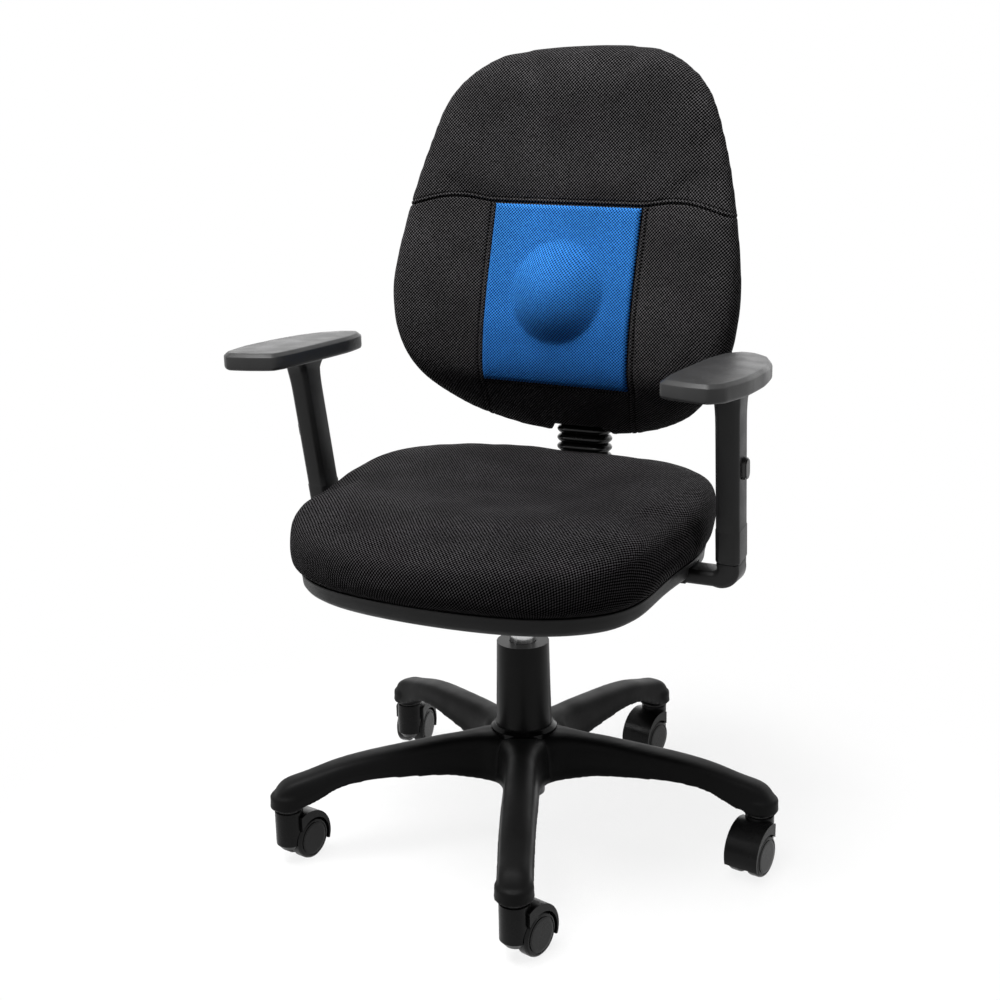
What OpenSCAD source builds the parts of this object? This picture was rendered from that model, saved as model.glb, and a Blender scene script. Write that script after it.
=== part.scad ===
// Office chair on a five-armed castor base, with a height-adjustable seat, back and armrests.
// The origin is on the floor under the column, +Z is up and the chair faces -Y.
// The sitter's left side is +X. All sizes are in millimetres and degrees.

/* [Castors] */
// Radius of a castor wheel
wheel_r = 25; // [22:0.5:28]
// Width of one castor wheel
wheel_w = 16; // [13:0.5:18]
// Thickness of the web between the two wheels
web_w = 9; // [8:0.5:12]
// Distance from the swivel axis back to the axle
trail = 20; // [19:0.5:24]
// Diameter of the castor axle
axle_d = 6; // [5:0.5:8]
// Diameter of the upright nose of the castor hood
nose_d = 34; // [30:1:38]
// Height of the top of the castor hood
hood_top = 66; // [62:0.5:72]
// Radius of the rounded top of the castor hood
hood_r = 35; // [33:0.5:37]
// Diameter of the castor stem
stem_d = 11; // [10:0.5:12]

/* [Base] */
// Radius of the circle on which the castor stems stand
stem_circle_r = 295; // [270:1:330]
// Direction of the first arm, turned from straight ahead towards the sitter's left
first_arm = 24; // [0:1:71]
// Diameter of the socket at the tip of an arm
socket_d = 42; // [38:1:46]
// Height of the socket at the tip of an arm
socket_h = 34; // [30:1:40]
// Gap between the castor hood and its socket
socket_gap = 2; // [1.5:0.5:3]
// Width of an arm at the hub
arm_root_w = 46; // [40:1:54]
// Width of an arm at its socket
arm_tip_w = 41; // [36:1:42]
// Height of the ridge of an arm above the sockets at the hub
arm_ridge = 70; // [66:1:80]
// Height of the lower edge of an arm above the sockets at the hub
arm_sole = 14; // [8:1:20]
// Wall of the hollow arms
arm_wall = 5; // [4:0.5:8]
// Diameter of the hub
hub_d = 92; // [84:1:104]
// Height of the hub
hub_h = 55; // [50:1:62]

/* [Column] */
// Outside diameter of the column tube
tube_d = 50; // [48:0.5:54]
// Wall of the column tube
tube_wall = 2; // [1.5:0.25:3]
// Height of the top of the column tube
tube_top = 244; // [238:1:250]
// Length of the column tube that shows below the hub
tube_below = 24; // [18:1:30]
// Diameter of the gas cylinder
gas_d = 32; // [28:0.5:34]
// Diameter of the piston rod
rod_d = 10; // [8:0.5:12]
// Length of the guide bush
bush_l = 80; // [60:1:95]
// Diameter of the column cover at its top
cover_top_d = 64; // [60:1:68]
// Diameter of the column cover at its foot
cover_foot_d = 69; // [66:1:74]
// Diameter of the collar at the foot of the cover
collar_d = 81; // [77:1:86]
// Height of the collar
collar_h = 14; // [8:1:18]
// Wall of the column cover
cover_wall = 2; // [1.5:0.25:3]

/* [Tilt mechanism] */
// Height of the underside of the mechanism
mech_z = 308; // [304:1:312]
// Width of the mechanism housing
mech_w = 96; // [88:1:110]
// Distance from the column to the front of the housing
mech_front = 88; // [76:1:94]
// Distance from the column to the rear of the housing
mech_rear = 92; // [90:1:96]
// Wall of the pressed steel housing
mech_wall = 3; // [2.5:0.25:4]
// Width of the seat plate on the mechanism
plate_w = 190; // [170:2:200]
// Side-to-side distance of the seat bolts
seat_bolt_x = 160; // [140:2:164]
// Front-to-rear distance of the seat bolts
seat_bolt_y = 160; // [130:2:170]
// Diameter of the bolts
bolt_d = 8; // [6:0.5:8]
// Distance from the column back to the recline pin
pivot_y = 78; // [74:1:80]
// Height of the recline pin
pivot_z = 334; // [328:1:336]
// Diameter of the recline pin
pin_d = 12; // [10:0.5:14]
// Diameter of the lever rods
lever_d = 8; // [6:0.5:9]
// Reach of the height lever to the sitter's right
lever_reach = 228; // [190:2:236]
// Distance of the angle lever behind the height lever
lever_gap = 48; // [44:1:50]

/* [Seat] */
// Width of the seat cushion
seat_w = 476; // [440:2:500]
// Depth of the seat cushion
seat_d = 424; // [400:2:450]
// Distance from the column to the front of the seat
seat_front = 262; // [250:1:275]
// Height of the underside of the seat board
board_z = 366; // [364:1:370]
// Thickness of the seat board
board_t = 12; // [9:0.5:14]
// Distance of the edge of the seat board inside the cushion
board_inset = 32; // [28:1:50]
// Height of the plastic cover under the seat
seat_cover_h = 24; // [22:1:32]
// Wall of the plastic covers
cover_t = 3; // [2:0.25:4]
// Height of the cushion above the seat board
seat_foam = 70; // [60:1:80]
// Depth of the hollow worn into the seat by its shape
seat_dish = 16; // [8:1:24]
// Drop of the front edge of the seat
seat_fall = 22; // [14:1:40]
// Rise of the rear edge of the seat
seat_rise = 16; // [0:1:20]
// Drop of the cover under the front edge of the seat
cover_fall = 17; // [0:1:20]

/* [Back] */
// Width of the back
back_w = 456; // [420:2:470]
// Height of the lower edge of the back
back_low = 475; // [472:1:480]
// Height of the upper edge of the back
back_high = 950; // [920:2:980]
// Lean of the bar that carries the back
back_rake = 3; // [0:0.5:5]
// Distance from the rear of the seat back to the bar, at the height of the bellows
bar_gap = 26; // [25:1:30]
// Thickness of the bar
bar_t = 10; // [8:0.5:12]
// Width of the bar
bar_w = 44; // [36:1:50]
// Length of the bar above the lower edge of the back
bar_up = 170; // [150:1:200]
// Bend radius of the bar
bar_bend = 30; // [24:1:34]
// Thickness of the back board
back_board_t = 10; // [8:0.5:12]
// Wall of the sliding block round the bar
block_wall = 4.5; // [4:0.25:6]
// Length of the sliding block
block_l = 100; // [80:1:110]
// Side of the square front panel
panel_w = 193; // [160:1:210]
// Height of the front panel
panel_h = 215; // [180:1:230]
// Height of the lower edge of the front panel
panel_low = 547; // [540:1:560]
// Thickness of the front panel
panel_t = 2.4; // [1.6:0.2:4]
// Diameter of the lumbar ball where it shows
ball_d = 122; // [104:1:134]
// Height of the lumbar ball above the cushion
ball_h = 26; // [16:1:30]
// Height of the centre of the lumbar ball
ball_z = 660; // [650:1:670]
// Travel of the back along its bar
back_travel = 60; // [40:1:64]

/* [Bellows] */
// Width of the bellows over its ribs
bellows_w = 73; // [68:1:80]
// Depth of the bellows over its ribs
bellows_t = 40; // [34:1:44]
// Depth of the groove between two ribs
bellows_groove = 6.5; // [4:0.5:8]
// Height of one rib
rib_pitch = 11.5; // [10:0.5:14]
// Number of ribs
rib_count = 7; // [5:1:7]

/* [Armrests] */
// Distance from the side of the seat to the middle of an arm post, at the top of its elbow
post_gap = 28; // [25:1:34]
// Distance from the column forward to an arm post, at the top of its elbow
post_y = 16; // [8:1:24]
// Height of the top of the elbow
elbow_top = 390; // [388:1:394]
// Forward lean of the arm posts
post_lean = 9; // [5:0.5:12]
// Outward splay of the arm posts
post_splay = 1.5; // [0:0.5:3]
// Width of a sleeve, seen from the front
sleeve_w = 27; // [25:0.5:32]
// Depth of a sleeve, seen from the side
sleeve_d = 36; // [32:0.5:42]
// Wall of a sleeve
sleeve_wall = 3; // [2.5:0.25:4]
// Height of the underside of the pads
pad_low = 590; // [580:1:600]
// Thickness of a pad
pad_t = 18; // [16:1:28]
// Travel of the armrests
arm_travel = 70; // [50:1:75]
// Length of the upright bar inside a sleeve
upright_l = 140; // [125:1:150]
// Depth of the horizontal steel plate of an arm bracket, seen from the side
bracket_d = 38; // [34:1:44]
// Distance from the middle to the inner end of a bracket
bracket_in = 112; // [104:1:120]
// Length of the height button
button_l = 25; // [20:1:30]
// Width of the height button
button_w = 15; // [12:1:16]
// Distance of the button above the top of the elbow
button_up = 109; // [95:1:120]
// Height of the button above its sleeve
button_out = 5.5; // [4:0.5:7]

/* [Fits] */
// Gap between soft or sliding pieces
slip = 0.3; // [0.2:0.05:0.5]
// Radial clearance of a running pin or shaft
run = 0.05; // [0.03:0.01:0.1]

/* [Hidden] */
$fn = 64;
CASTORS = [1, 2, 3, 4, 5];
// Directions in which the five castors trail in this pose
castor_turns = [167, -9, -11, 188, 172];
arm_step = 72;
axle_r = axle_d / 2;
stem_r = stem_d / 2;
wheel_gap = 0.4;
tyre_gap = 1.2;
nose_z = 17;
guard_z = 15;
castor_half = web_w / 2 + wheel_gap + wheel_w;
socket_z = hood_top + socket_gap;
hub_z = socket_z + 6;
hub_top = hub_z + hub_h;
ridge_z = socket_z + arm_ridge;
sole_z = socket_z + arm_sole;
sleeve_r = stem_r + 2;

tube_r = tube_d / 2;
tube_z = hub_z - tube_below;
gas_r = gas_d / 2;
rod_r = rod_d / 2;
bearing_h = 7;
clip_t = 1.6;
bush_flange = 3;
cover_top = tube_top + bush_flange + cover_wall;

gas_low = tube_z + 62;
gas_high = mech_z + 32;
valve_r = 3;
valve_up = 5;
lever_r = lever_d / 2;
lever_tip_r = 5;
lever_z = gas_high + valve_up + slip + lever_tip_r;
lever_pivot_x = 36;
handle_z = lever_z - 18;
mech_top = board_z;
plate_t = mech_wall;
housing_wall_z = mech_top - plate_t;
mech_half = mech_w / 2;
plate_front = mech_front + 20;
plate_rear = mech_rear + 10;
seat_bolt_mid = (plate_rear - plate_front) / 2;
pin_r = pin_d / 2;
bolt_r = bolt_d / 2;
bolt_head_h = 5;

seat_mid = seat_d / 2 - seat_front;
post_x = seat_w / 2 + post_gap;
bar_y = seat_d - seat_front + bar_gap;
board_top = board_z + board_t;
cover_low = board_z - 6;
cover_rim = cover_low + seat_cover_h;
rim = 13;
seat_top = board_top + seat_foam;

bar_r = bar_t / 2;
bar_mark = back_low - 15;
bar_top = back_low + bar_up;
block_low = back_low + 30;
back_mid = (back_low + back_high) / 2;
back_tall = back_high - back_low;
bellows_high = back_low + 7;
bellows_low = bellows_high - rib_count * rib_pitch;

post_dir = [cos(post_lean) * sin(post_splay), -sin(post_lean), cos(post_lean) * cos(post_splay)];
post_l = (pad_low - elbow_top) / post_dir[2];
upright_w = sleeve_w - 2 * sleeve_wall - 2 * slip;
upright_d = sleeve_d - 2 * sleeve_wall - 2 * slip;
notch_depth = 6;
bracket_t = board_z - cover_low;
button_press = 3;
flange_t = 1.6;

// Depth of the pocket for the lumbar ball and lean of its axis
pocket_depth = 28;
ball_lean = 11;
// Distance of the ball behind its bump in the panel, and how much more at its edge
ball_clear = 5;
ball_edge = 4;
// Gap between the cushion and the panel, and over a bracket where it enters the seat cover
panel_gap = 1;
bracket_gap = 1.5;

screw_r = 2.5;
screw_x = 72;
screw_z = 110;
screw_l = 32;
board_edge = 34;
elbow_bar_h = 17;
elbow_bar_z = cover_low + elbow_bar_h / 2;
elbow_bend = elbow_top - 6 - elbow_bar_z;

// Distances of inner rings from the edge of the seat and of the back
seat_insets = [0.084, 0.168, 0.273, 0.378] * seat_w;
board_insets = [0.44, 0.33, 0.22, 0.13] * back_w;
front_insets = [0.105, 0.145, 0.184, 0.228, 0.28, 0.35, 0.428] * back_w;

// Half of the seat outline as shares of its half width and half depth, from the front to the rear
SEAT_HALF = [[0, -1], [0.36, -0.97], [0.63, -0.88], [0.82, -0.72], [0.93, -0.5], [0.97, -0.2],
    [1, 0.16], [0.93, 0.57], [0.7, 0.85], [0.37, 0.98], [0, 1]];
// Half of the back outline as shares of its half width and half height, from the bottom to the top
BACK_HALF = [[0, -1], [0.35, -0.98], [0.68, -0.85], [0.92, -0.58], [1, -0.25], [0.955, 0.12],
    [0.855, 0.5], [0.73, 0.78], [0.51, 0.945], [0.25, 0.99], [0, 1]];
// Outline of the left arm pad, as distances from the top of the elbow
PAD_OUTLINE = [[-33, -140], [-4, -152], [22, -156], [36, -142], [45, -98], [45, -42], [38, 6],
    [24, 40], [2, 62], [-16, 66], [-30, 48], [-37, 8], [-38, -100]];
// Shares of the height of the back at which its depth is given
BACK_MARKS = [0, 0.06, 0.16, 0.27, 0.39, 0.5, 0.61, 0.75, 0.9, 1];
// Distances from the bar line forward to the front of the cushion at these marks
BACK_FRONTS = [30, 52, 92, 98, 92, 82, 72, 62, 57, 56];
// Distances from the bar line back to the rear cover at these marks
BACK_REARS = [14, 17, 19, 19, 18, 17, 16, 14, 8, -4];

// General forms

// Middle of a list of points
function mean(list) =
    [for (k = [0:2]) [for (p = list) p[k]] * [for (p = list) 1] / len(list)];

// Point on a smooth curve between b and c, with a before them and d after them
function curve_point(a, b, c, d, t) =
    0.5 * (2 * b + (c - a) * t + (2 * a - 5 * b + 4 * c - d) * t * t
        + (3 * b - a - 3 * c + d) * t * t * t);

// Closed smooth curve through a ring of points
function smooth_ring(p, steps) = let (n = len(p))
    [for (i = [0:n - 1], s = [0:steps - 1])
        curve_point(p[(i + n - 1) % n], p[i], p[(i + 1) % n], p[(i + 2) % n], s / steps)];

// Outline with its mirrored half added
function both_sides(half) =
    concat(half, [for (i = [len(half) - 2:-1:1]) [-half[i][0], half[i][1]]]);

// Height of a dome of height 1 at a share of its radius
function dome(t) = pow(max(0, 1 - t * t), 1.15);

// Smooth value between two limits
function ease(t) = let (u = min(1, max(0, t))) u * u * (3 - 2 * u);

// Closed solid through a list of rings that all have the same number of points. Its first
// bands are split along their other diagonal, to lie evenly on a skin that runs the other way
module skin(rings, turned_bands = 0) {
    n = len(rings[0]);
    m = len(rings);
    points = concat([for (ring = rings) each ring], [mean(rings[0]), mean(rings[m - 1])]);
    sides = [for (i = [0:m - 2], j = [0:n - 1]) let (k = (j + 1) % n, a = i * n, b = a + n)
        each (i < turned_bands
            ? [[a + j, b + j, a + k], [a + k, b + j, b + k]]
            : [[a + j, b + j, b + k], [a + j, b + k, a + k]])];
    caps = [for (j = [0:n - 1]) let (k = (j + 1) % n)
        each [[m * n, j, k], [m * n + 1, (m - 1) * n + k, (m - 1) * n + j]]];
    polyhedron(points, concat(sides, caps), convexity = 8);
}

// Round bar along X from one side to the other
module cross_bar(x0, x1, r) {
    translate([x0, 0, 0])
        rotate([0, 90, 0])
            cylinder(h = x1 - x0, r = r);
}

// Hexagon bolt with its head down and its tip up
module bolt(length, r) {
    translate([0, 0, -bolt_head_h])
        cylinder(h = bolt_head_h, r = 1.6 * r, $fn = 6);
    cylinder(h = length, r = r);
}

// Base

function arm_turn(i) = first_arm + (i - 1) * arm_step;

module at_arm(i) {
    rotate([0, 0, arm_turn(i) - 90])
        children();
}

// Section of an arm at a distance from the column, with a flared foot and a rounded ridge
function arm_ring(x, w, low, high) = let (h = high - low, a = w / 2)
    [for (p = [[-1, 0], [-1, 0.16], [-0.88, 0.32], [-0.84, 0.68], [-0.66, 0.9], [-0.26, 1]])
        [x, p[0] * a, low + p[1] * h]];

function arm_section(x, w, low, high) = let (half = arm_ring(x, w, low, high))
    concat([for (k = [5:-1:0]) half[k]], [for (k = [0:5]) [x, -half[k][1], half[k][2]]]);

// Distance, width and heights of the arm, from the hub to the tip
function arm_stations() = let (r = stem_circle_r, w = arm_tip_w, s = socket_d / 2)
    [[20, arm_root_w + 6, sole_z - 4, ridge_z - 1],
        [50, arm_root_w + 2, sole_z, ridge_z - 1],
        [100, arm_root_w - 1, sole_z + 11, ridge_z - 3],
        [160, (arm_root_w + w) / 2, sole_z + 16, ridge_z - 8],
        [r - 96, w + 1.5, sole_z + 17, ridge_z - 12],
        [r - 60, w + 1, sole_z + 12, ridge_z - 18],
        [r - 26, w, socket_z + 10, ridge_z - 27],
        [r, w, socket_z + 2, socket_z + socket_h + 2],
        [r + 0.55 * s, 0.83 * w, socket_z + 2, socket_z + socket_h - 7],
        [r + 0.85 * s, 0.5 * w, socket_z + 2, socket_z + socket_h - 18]];

// Open channel under an arm, from the hub to the socket
function channel_stations() = [for (s = arm_stations())
    if (s[0] > 30 && s[0] < stem_circle_r - 20)
        [s[0], s[1] - 2 * arm_wall, s[2] - 30, s[3] - arm_wall - 3]];

module star_arm() {
    difference() {
        skin([for (s = arm_stations()) arm_section(s[0], s[1], s[2], s[3])]);
        skin([for (s = channel_stations())
            [[s[0], -0.36 * s[1], s[3]], [s[0], -0.5 * s[1], s[2]],
                [s[0], 0.5 * s[1], s[2]], [s[0], 0.36 * s[1], s[3]]]]);
    }
}

module star_base() {
    color("#2b2c2e")
        difference() {
            union() {
                translate([0, 0, hub_z])
                    cylinder(h = hub_h, d = hub_d);
                for (i = CASTORS) {
                    at_arm(i) {
                        star_arm();
                        translate([stem_circle_r, 0, socket_z])
                            cylinder(h = socket_h - 6, d = socket_d);
                        translate([stem_circle_r, 0, socket_z])
                            cylinder(h = 3, d = socket_d + 1.4);
                    }
                }
            }
            translate([0, 0, hub_z - 60])
                cylinder(h = hub_h + 200, r = tube_r);
            translate([0, 0, hub_top])
                cylinder(h = 100, d = collar_d);
            for (i = CASTORS) {
                at_arm(i)
                    translate([stem_circle_r, 0, socket_z - 1])
                        cylinder(h = socket_h - 9, r = sleeve_r);
            }
        }
}

module socket_sleeves() {
    color("#3a3b3d")
        for (i = CASTORS) {
            at_arm(i)
                translate([stem_circle_r, 0, socket_z])
                    difference() {
                        cylinder(h = socket_h - 10, r = sleeve_r);
                        translate([0, 0, -1])
                            cylinder(h = socket_h, r = stem_r);
                    }
        }
}

module castor_stems() {
    color("silver")
        for (i = CASTORS) {
            at_arm(i)
                translate([stem_circle_r, 0, 0]) {
                    translate([0, 0, hood_top - 17])
                        cylinder(h = 17 + socket_gap + socket_h - 12, r = stem_r);
                    translate([0, 0, hood_top + slip])
                        cylinder(h = socket_gap - slip, r = stem_r + 9);
                }
        }
}

// Castors

module at_castor(i) {
    a = arm_turn(i);
    translate([stem_circle_r * sin(a), -stem_circle_r * cos(a), 0])
        rotate([0, 0, castor_turns[i - 1] - 90])
            children();
}

// Places a shape that is drawn round the axle, with its axis to the castor's left
module at_axle() {
    translate([trail, 0, wheel_r])
        rotate([-90, 0, 0])
            children();
}

module castor_hood(i) {
    guard_r = wheel_r + tyre_gap;
    color("#1d1e20")
        at_castor(i)
            difference() {
                union() {
                    translate([0, 0, nose_z + 7])
                        cylinder(h = hood_top - nose_z - 7, d = nose_d);
                    translate([0, 0, nose_z])
                        cylinder(h = 7, d1 = nose_d - 12, d2 = nose_d);
                    at_axle()
                        translate([0, 0, -web_w / 2])
                            cylinder(h = web_w, r = wheel_r - 4);
                    intersection() {
                        at_axle()
                            translate([-6, -2, -castor_half])
                                cylinder(h = 2 * castor_half, r = hood_r);
                        translate([0, -castor_half - 1, guard_z])
                            cube([2 * wheel_r + 10, 2 * castor_half + 2, hood_top - guard_z]);
                    }
                }
                for (side = [-1, 1]) {
                    at_axle()
                        translate([0, 0, side * (web_w / 2 + 30)])
                            cylinder(h = 60, r = guard_r, center = true);
                }
                at_axle()
                    cylinder(h = web_w + 2, r = axle_r, center = true);
                translate([0, 0, hood_top - 17 - slip])
                    cylinder(h = 30, r = stem_r + run);
            }
}

module castor_axle(i) {
    color("silver")
        at_castor(i)
            at_axle()
                cylinder(h = web_w + 2 * (wheel_gap + wheel_w - 4), r = axle_r, center = true);
}

// Half section of a wheel, from its inner face to its capped outer face
function wheel_section() = let (r = wheel_r, w = wheel_w)
    [[axle_r + run, 0], [9, 0], [9.5, w - 7], [r - 7, w - 7], [r - 6, 0.6], [r - 2, 0],
        [r - 0.6, 0.7], [r, 2.2], [r, w - 4.5], [r - 0.7, w - 2.4], [r - 2.2, w - 1],
        [r - 4, w - 0.6], [r - 4.2, w - 1.4], [r - 5.2, w - 1.4], [r - 5.4, w - 0.4],
        [r - 8, w], [0, w], [0, w - 3.6], [axle_r + run, w - 3.6]];

module wheel(i, side) {
    color("#161718")
        at_castor(i)
            at_axle()
                mirror([0, 0, side > 0 ? 0 : 1])
                    translate([0, 0, web_w / 2 + wheel_gap])
                        rotate_extrude()
                            polygon(wheel_section());
}

// Column

module column_tube() {
    color("#202123")
        translate([0, 0, tube_z])
            difference() {
                cylinder(h = tube_top - tube_z, r = tube_r);
                translate([0, 0, tube_wall + 1])
                    cylinder(h = tube_top, r = tube_r - tube_wall);
                translate([0, 0, -1])
                    cylinder(h = 10, r = rod_r + 1);
            }
}

module column_cover() {
    color("#2b2c2e")
        difference() {
            union() {
                translate([0, 0, hub_top])
                    cylinder(h = cover_top - hub_top, d1 = cover_foot_d, d2 = cover_top_d);
                translate([0, 0, hub_top])
                    cylinder(h = collar_h - 4, d = collar_d);
                translate([0, 0, hub_top + collar_h - 4])
                    cylinder(h = 4, d1 = collar_d, d2 = cover_foot_d + 3);
            }
            translate([0, 0, hub_top - 1])
                cylinder(h = cover_top - cover_wall - hub_top + 1, d1 = cover_foot_d - 2 * cover_wall,
                    d2 = cover_top_d - 2 * cover_wall);
            cylinder(h = cover_top + 1, r = gas_r + 0.6);
        }
}

module guide_bush() {
    color("#4a4b4d")
        difference() {
            union() {
                translate([0, 0, tube_top - bush_l])
                    cylinder(h = bush_l, r = tube_r - tube_wall);
                translate([0, 0, tube_top])
                    cylinder(h = bush_flange, r = tube_r);
            }
            translate([0, 0, tube_top - bush_l - 1])
                cylinder(h = bush_l + bush_flange + 2, r = gas_r + run);
        }
}

module column_bearing() {
    color("silver")
        translate([0, 0, tube_z + tube_wall + 1])
            difference() {
                cylinder(h = bearing_h, r = rod_r + 9);
                translate([0, 0, -1])
                    cylinder(h = bearing_h + 2, r = rod_r + run);
            }
}

module column_clip() {
    color("silver")
        translate([0, 0, tube_z - clip_t])
            difference() {
                cylinder(h = clip_t, r = rod_r + 5);
                translate([0, 0, -1])
                    cylinder(h = clip_t + 2, r = rod_r + run);
            }
}

module piston_rod() {
    seat_z = tube_z + tube_wall + 1 + bearing_h;
    color("silver") {
        translate([0, 0, tube_z - clip_t - 4])
            cylinder(h = mech_z - 60 - tube_z, r = rod_r);
        translate([0, 0, seat_z + slip])
            cylinder(h = 3, r = rod_r + 4);
        translate([0, 0, mech_z - 74])
            cylinder(h = 12, r = gas_r - 3 - run);
    }
}

module gas_cylinder() {
    cone_h = gas_high - mech_z + 6;
    color("#c9cbce")
        difference() {
            union() {
                translate([0, 0, gas_low])
                    cylinder(h = gas_high - cone_h - gas_low, r = gas_r);
                translate([0, 0, gas_high - cone_h])
                    cylinder(h = cone_h, r1 = gas_r, r2 = gas_r - 1.5);
            }
            translate([0, 0, gas_low - 1])
                cylinder(h = 60, r = rod_r + run);
            translate([0, 0, gas_low + 12])
                cylinder(h = gas_high - gas_low - 32, r = gas_r - 3);
            translate([0, 0, gas_high - 12])
                cylinder(h = 20, r = valve_r + run);
        }
}

module valve_pin() {
    color("silver")
        translate([0, 0, gas_high - 12 + 4])
            cylinder(h = 8 + valve_up, r = valve_r);
}

// Tilt mechanism

module tilt_housing() {
    tube_h = gas_high - mech_z + 3;
    color("#242528")
        difference() {
            union() {
                difference() {
                    translate([-mech_half, -mech_front, mech_z])
                        cube([mech_w, mech_front + mech_rear, housing_wall_z - mech_z]);
                    translate([-mech_half + mech_wall, -mech_front + mech_wall, mech_z + mech_wall])
                        cube([mech_w - 2 * mech_wall, mech_front + mech_rear, 200]);
                }
                translate([-plate_w / 2, -plate_front, housing_wall_z])
                    cube([plate_w, plate_front + plate_rear, plate_t]);
                translate([0, 0, mech_z - 3])
                    cylinder(h = tube_h, r = gas_r + 4);
                for (y = [0, lever_gap], side = [-1, 1]) {
                    translate([-lever_pivot_x - 6, y + side * 10 - 1.5, lever_z - 7])
                        cube([12, 3, housing_wall_z - lever_z + 8]);
                }
            }
            translate([0, 0, gas_high - (gas_high - mech_z + 6)])
                cylinder(h = gas_high - mech_z + 6, r1 = gas_r, r2 = gas_r - 1.5);
            translate([0, 0, gas_high - 0.01])
                cylinder(h = 10, r = gas_r - 1.5);
            for (y = [0, lever_gap]) {
                translate([-lever_pivot_x, y, lever_z])
                    rotate([90, 0, 0])
                        cylinder(h = 40, r = 3 + run, center = true);
                translate([-mech_half - 5, y - lever_r - 2, lever_z - lever_r - 4])
                    cube([mech_wall + 10, lever_d + 4, lever_d + 8]);
            }
            translate([0, pivot_y, pivot_z])
                cross_bar(-mech_half - 1, mech_half + 1, pin_r);
            for (x = [-1, 1], y = [-1, 1]) {
                translate([x * seat_bolt_x / 2, seat_bolt_mid + y * seat_bolt_y / 2, board_z - 20])
                    cylinder(h = 40, r = bolt_r + 0.3);
            }
        }
}

module recline_pin() {
    color("silver")
        translate([0, pivot_y, pivot_z]) {
            cross_bar(-mech_half - 3, mech_half + 3, pin_r);
            cross_bar(-mech_half - 3, -mech_half, pin_r + 3);
            cross_bar(mech_half, mech_half + 3, pin_r + 3);
        }
}

// Side view of a lever, from its inner end over its bend to its grip
function lever_path(tip_x, reach) = let (r = lever_r, bend = -mech_half - 12, drop = bend - 34)
    [[tip_x, lever_z + r], [tip_x, lever_z - r], [bend + 1, lever_z - r], [drop + 1, handle_z - r],
        [12 - reach, handle_z - r], [12 - reach, handle_z + r], [drop - 1, handle_z + r],
        [bend - 1, lever_z + r]];

// Bent bar with a flat grip, on its own cross pin in the housing
module lever(y, tip_x, reach) {
    translate([0, y + lever_r, 0])
        rotate([90, 0, 0])
            linear_extrude(lever_d)
                polygon(lever_path(tip_x, reach));
    translate([tip_x, y, lever_z])
        rotate([90, 0, 0])
            cylinder(h = 12, r = lever_tip_r, center = true);
    translate([-lever_pivot_x, y, lever_z])
        rotate([90, 0, 0]) {
            cylinder(h = 17 - 2 * slip, r = lever_r + 2.5, center = true);
            cylinder(h = 26, r = 3, center = true);
        }
    translate([12 - reach, y - 12, handle_z - 5])
        cube([32, 24, 10]);
    translate([12 - reach, y, handle_z - 5])
        cylinder(h = 10, r = 12);
}

module height_lever() {
    color("#1d1e20")
        lever(0, 0, lever_reach);
}

module angle_lever() {
    color("#1d1e20")
        lever(lever_gap, -lever_pivot_x + 12, lever_reach - 22);
}

module seat_bolts() {
    color("silver")
        for (x = [-1, 1], y = [-1, 1]) {
            translate([x * seat_bolt_x / 2, seat_bolt_mid + y * seat_bolt_y / 2, housing_wall_z])
                bolt(plate_t + board_t - 1, bolt_r);
        }
}

// Seat

function seat_outline() = smooth_ring(both_sides(SEAT_HALF), 2);

// Seat outline moved inwards by a distance, at a height
function seat_ring(inset, z) = let (s = 1 - 2 * inset / seat_w, t = 1 - 2 * inset / seat_d)
    [for (p = seat_outline()) [p[0] * s * seat_w / 2, seat_mid + p[1] * t * seat_d / 2, z]];

// How far the top of the seat lies under the level of its foam
function seat_sink(x, y) =
    let (front = ease((-y - seat_front + 150) / 150),
        rear = ease((y - seat_mid + 90) / (0.55 * seat_d)),
        side = min(1, abs(x) / (seat_w / 2)),
        middle = ease(1 - norm([x / (0.42 * seat_w), (y - seat_mid - 30) / (0.4 * seat_d)])))
    seat_fall * front - seat_rise * rear + 3 * side * side + seat_dish * middle;

// Ring of the lower side of the seat, which drops at the front by a share
function seat_low_ring(inset, z, share) =
    [for (p = seat_ring(inset, z))
        [p[0], p[1], z - share * cover_fall * ease((-p[1] - 36) / 150)]];

// Ring of the upper side of the seat, which follows the sink by a share
function seat_top_ring(inset, z, share) =
    [for (p = seat_ring(inset, z)) [p[0], p[1], p[2] - share * seat_sink(p[0], p[1])]];

module seat_board() {
    color("#b08a5a")
        difference() {
            translate([0, 0, board_z])
                linear_extrude(board_t)
                    polygon([for (p = seat_ring(board_inset, 0)) [p[0], p[1]]]);
            for (x = [-1, 1], y = [-1, 1]) {
                translate([x * seat_bolt_x / 2, seat_bolt_mid + y * seat_bolt_y / 2, board_z - 1])
                    cylinder(h = board_t + 2, r = bolt_r);
            }
            at_arm_bolts()
                translate([0, 0, board_z - 1])
                    cylinder(h = board_t + 2, r = bolt_r);
        }
}

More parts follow.
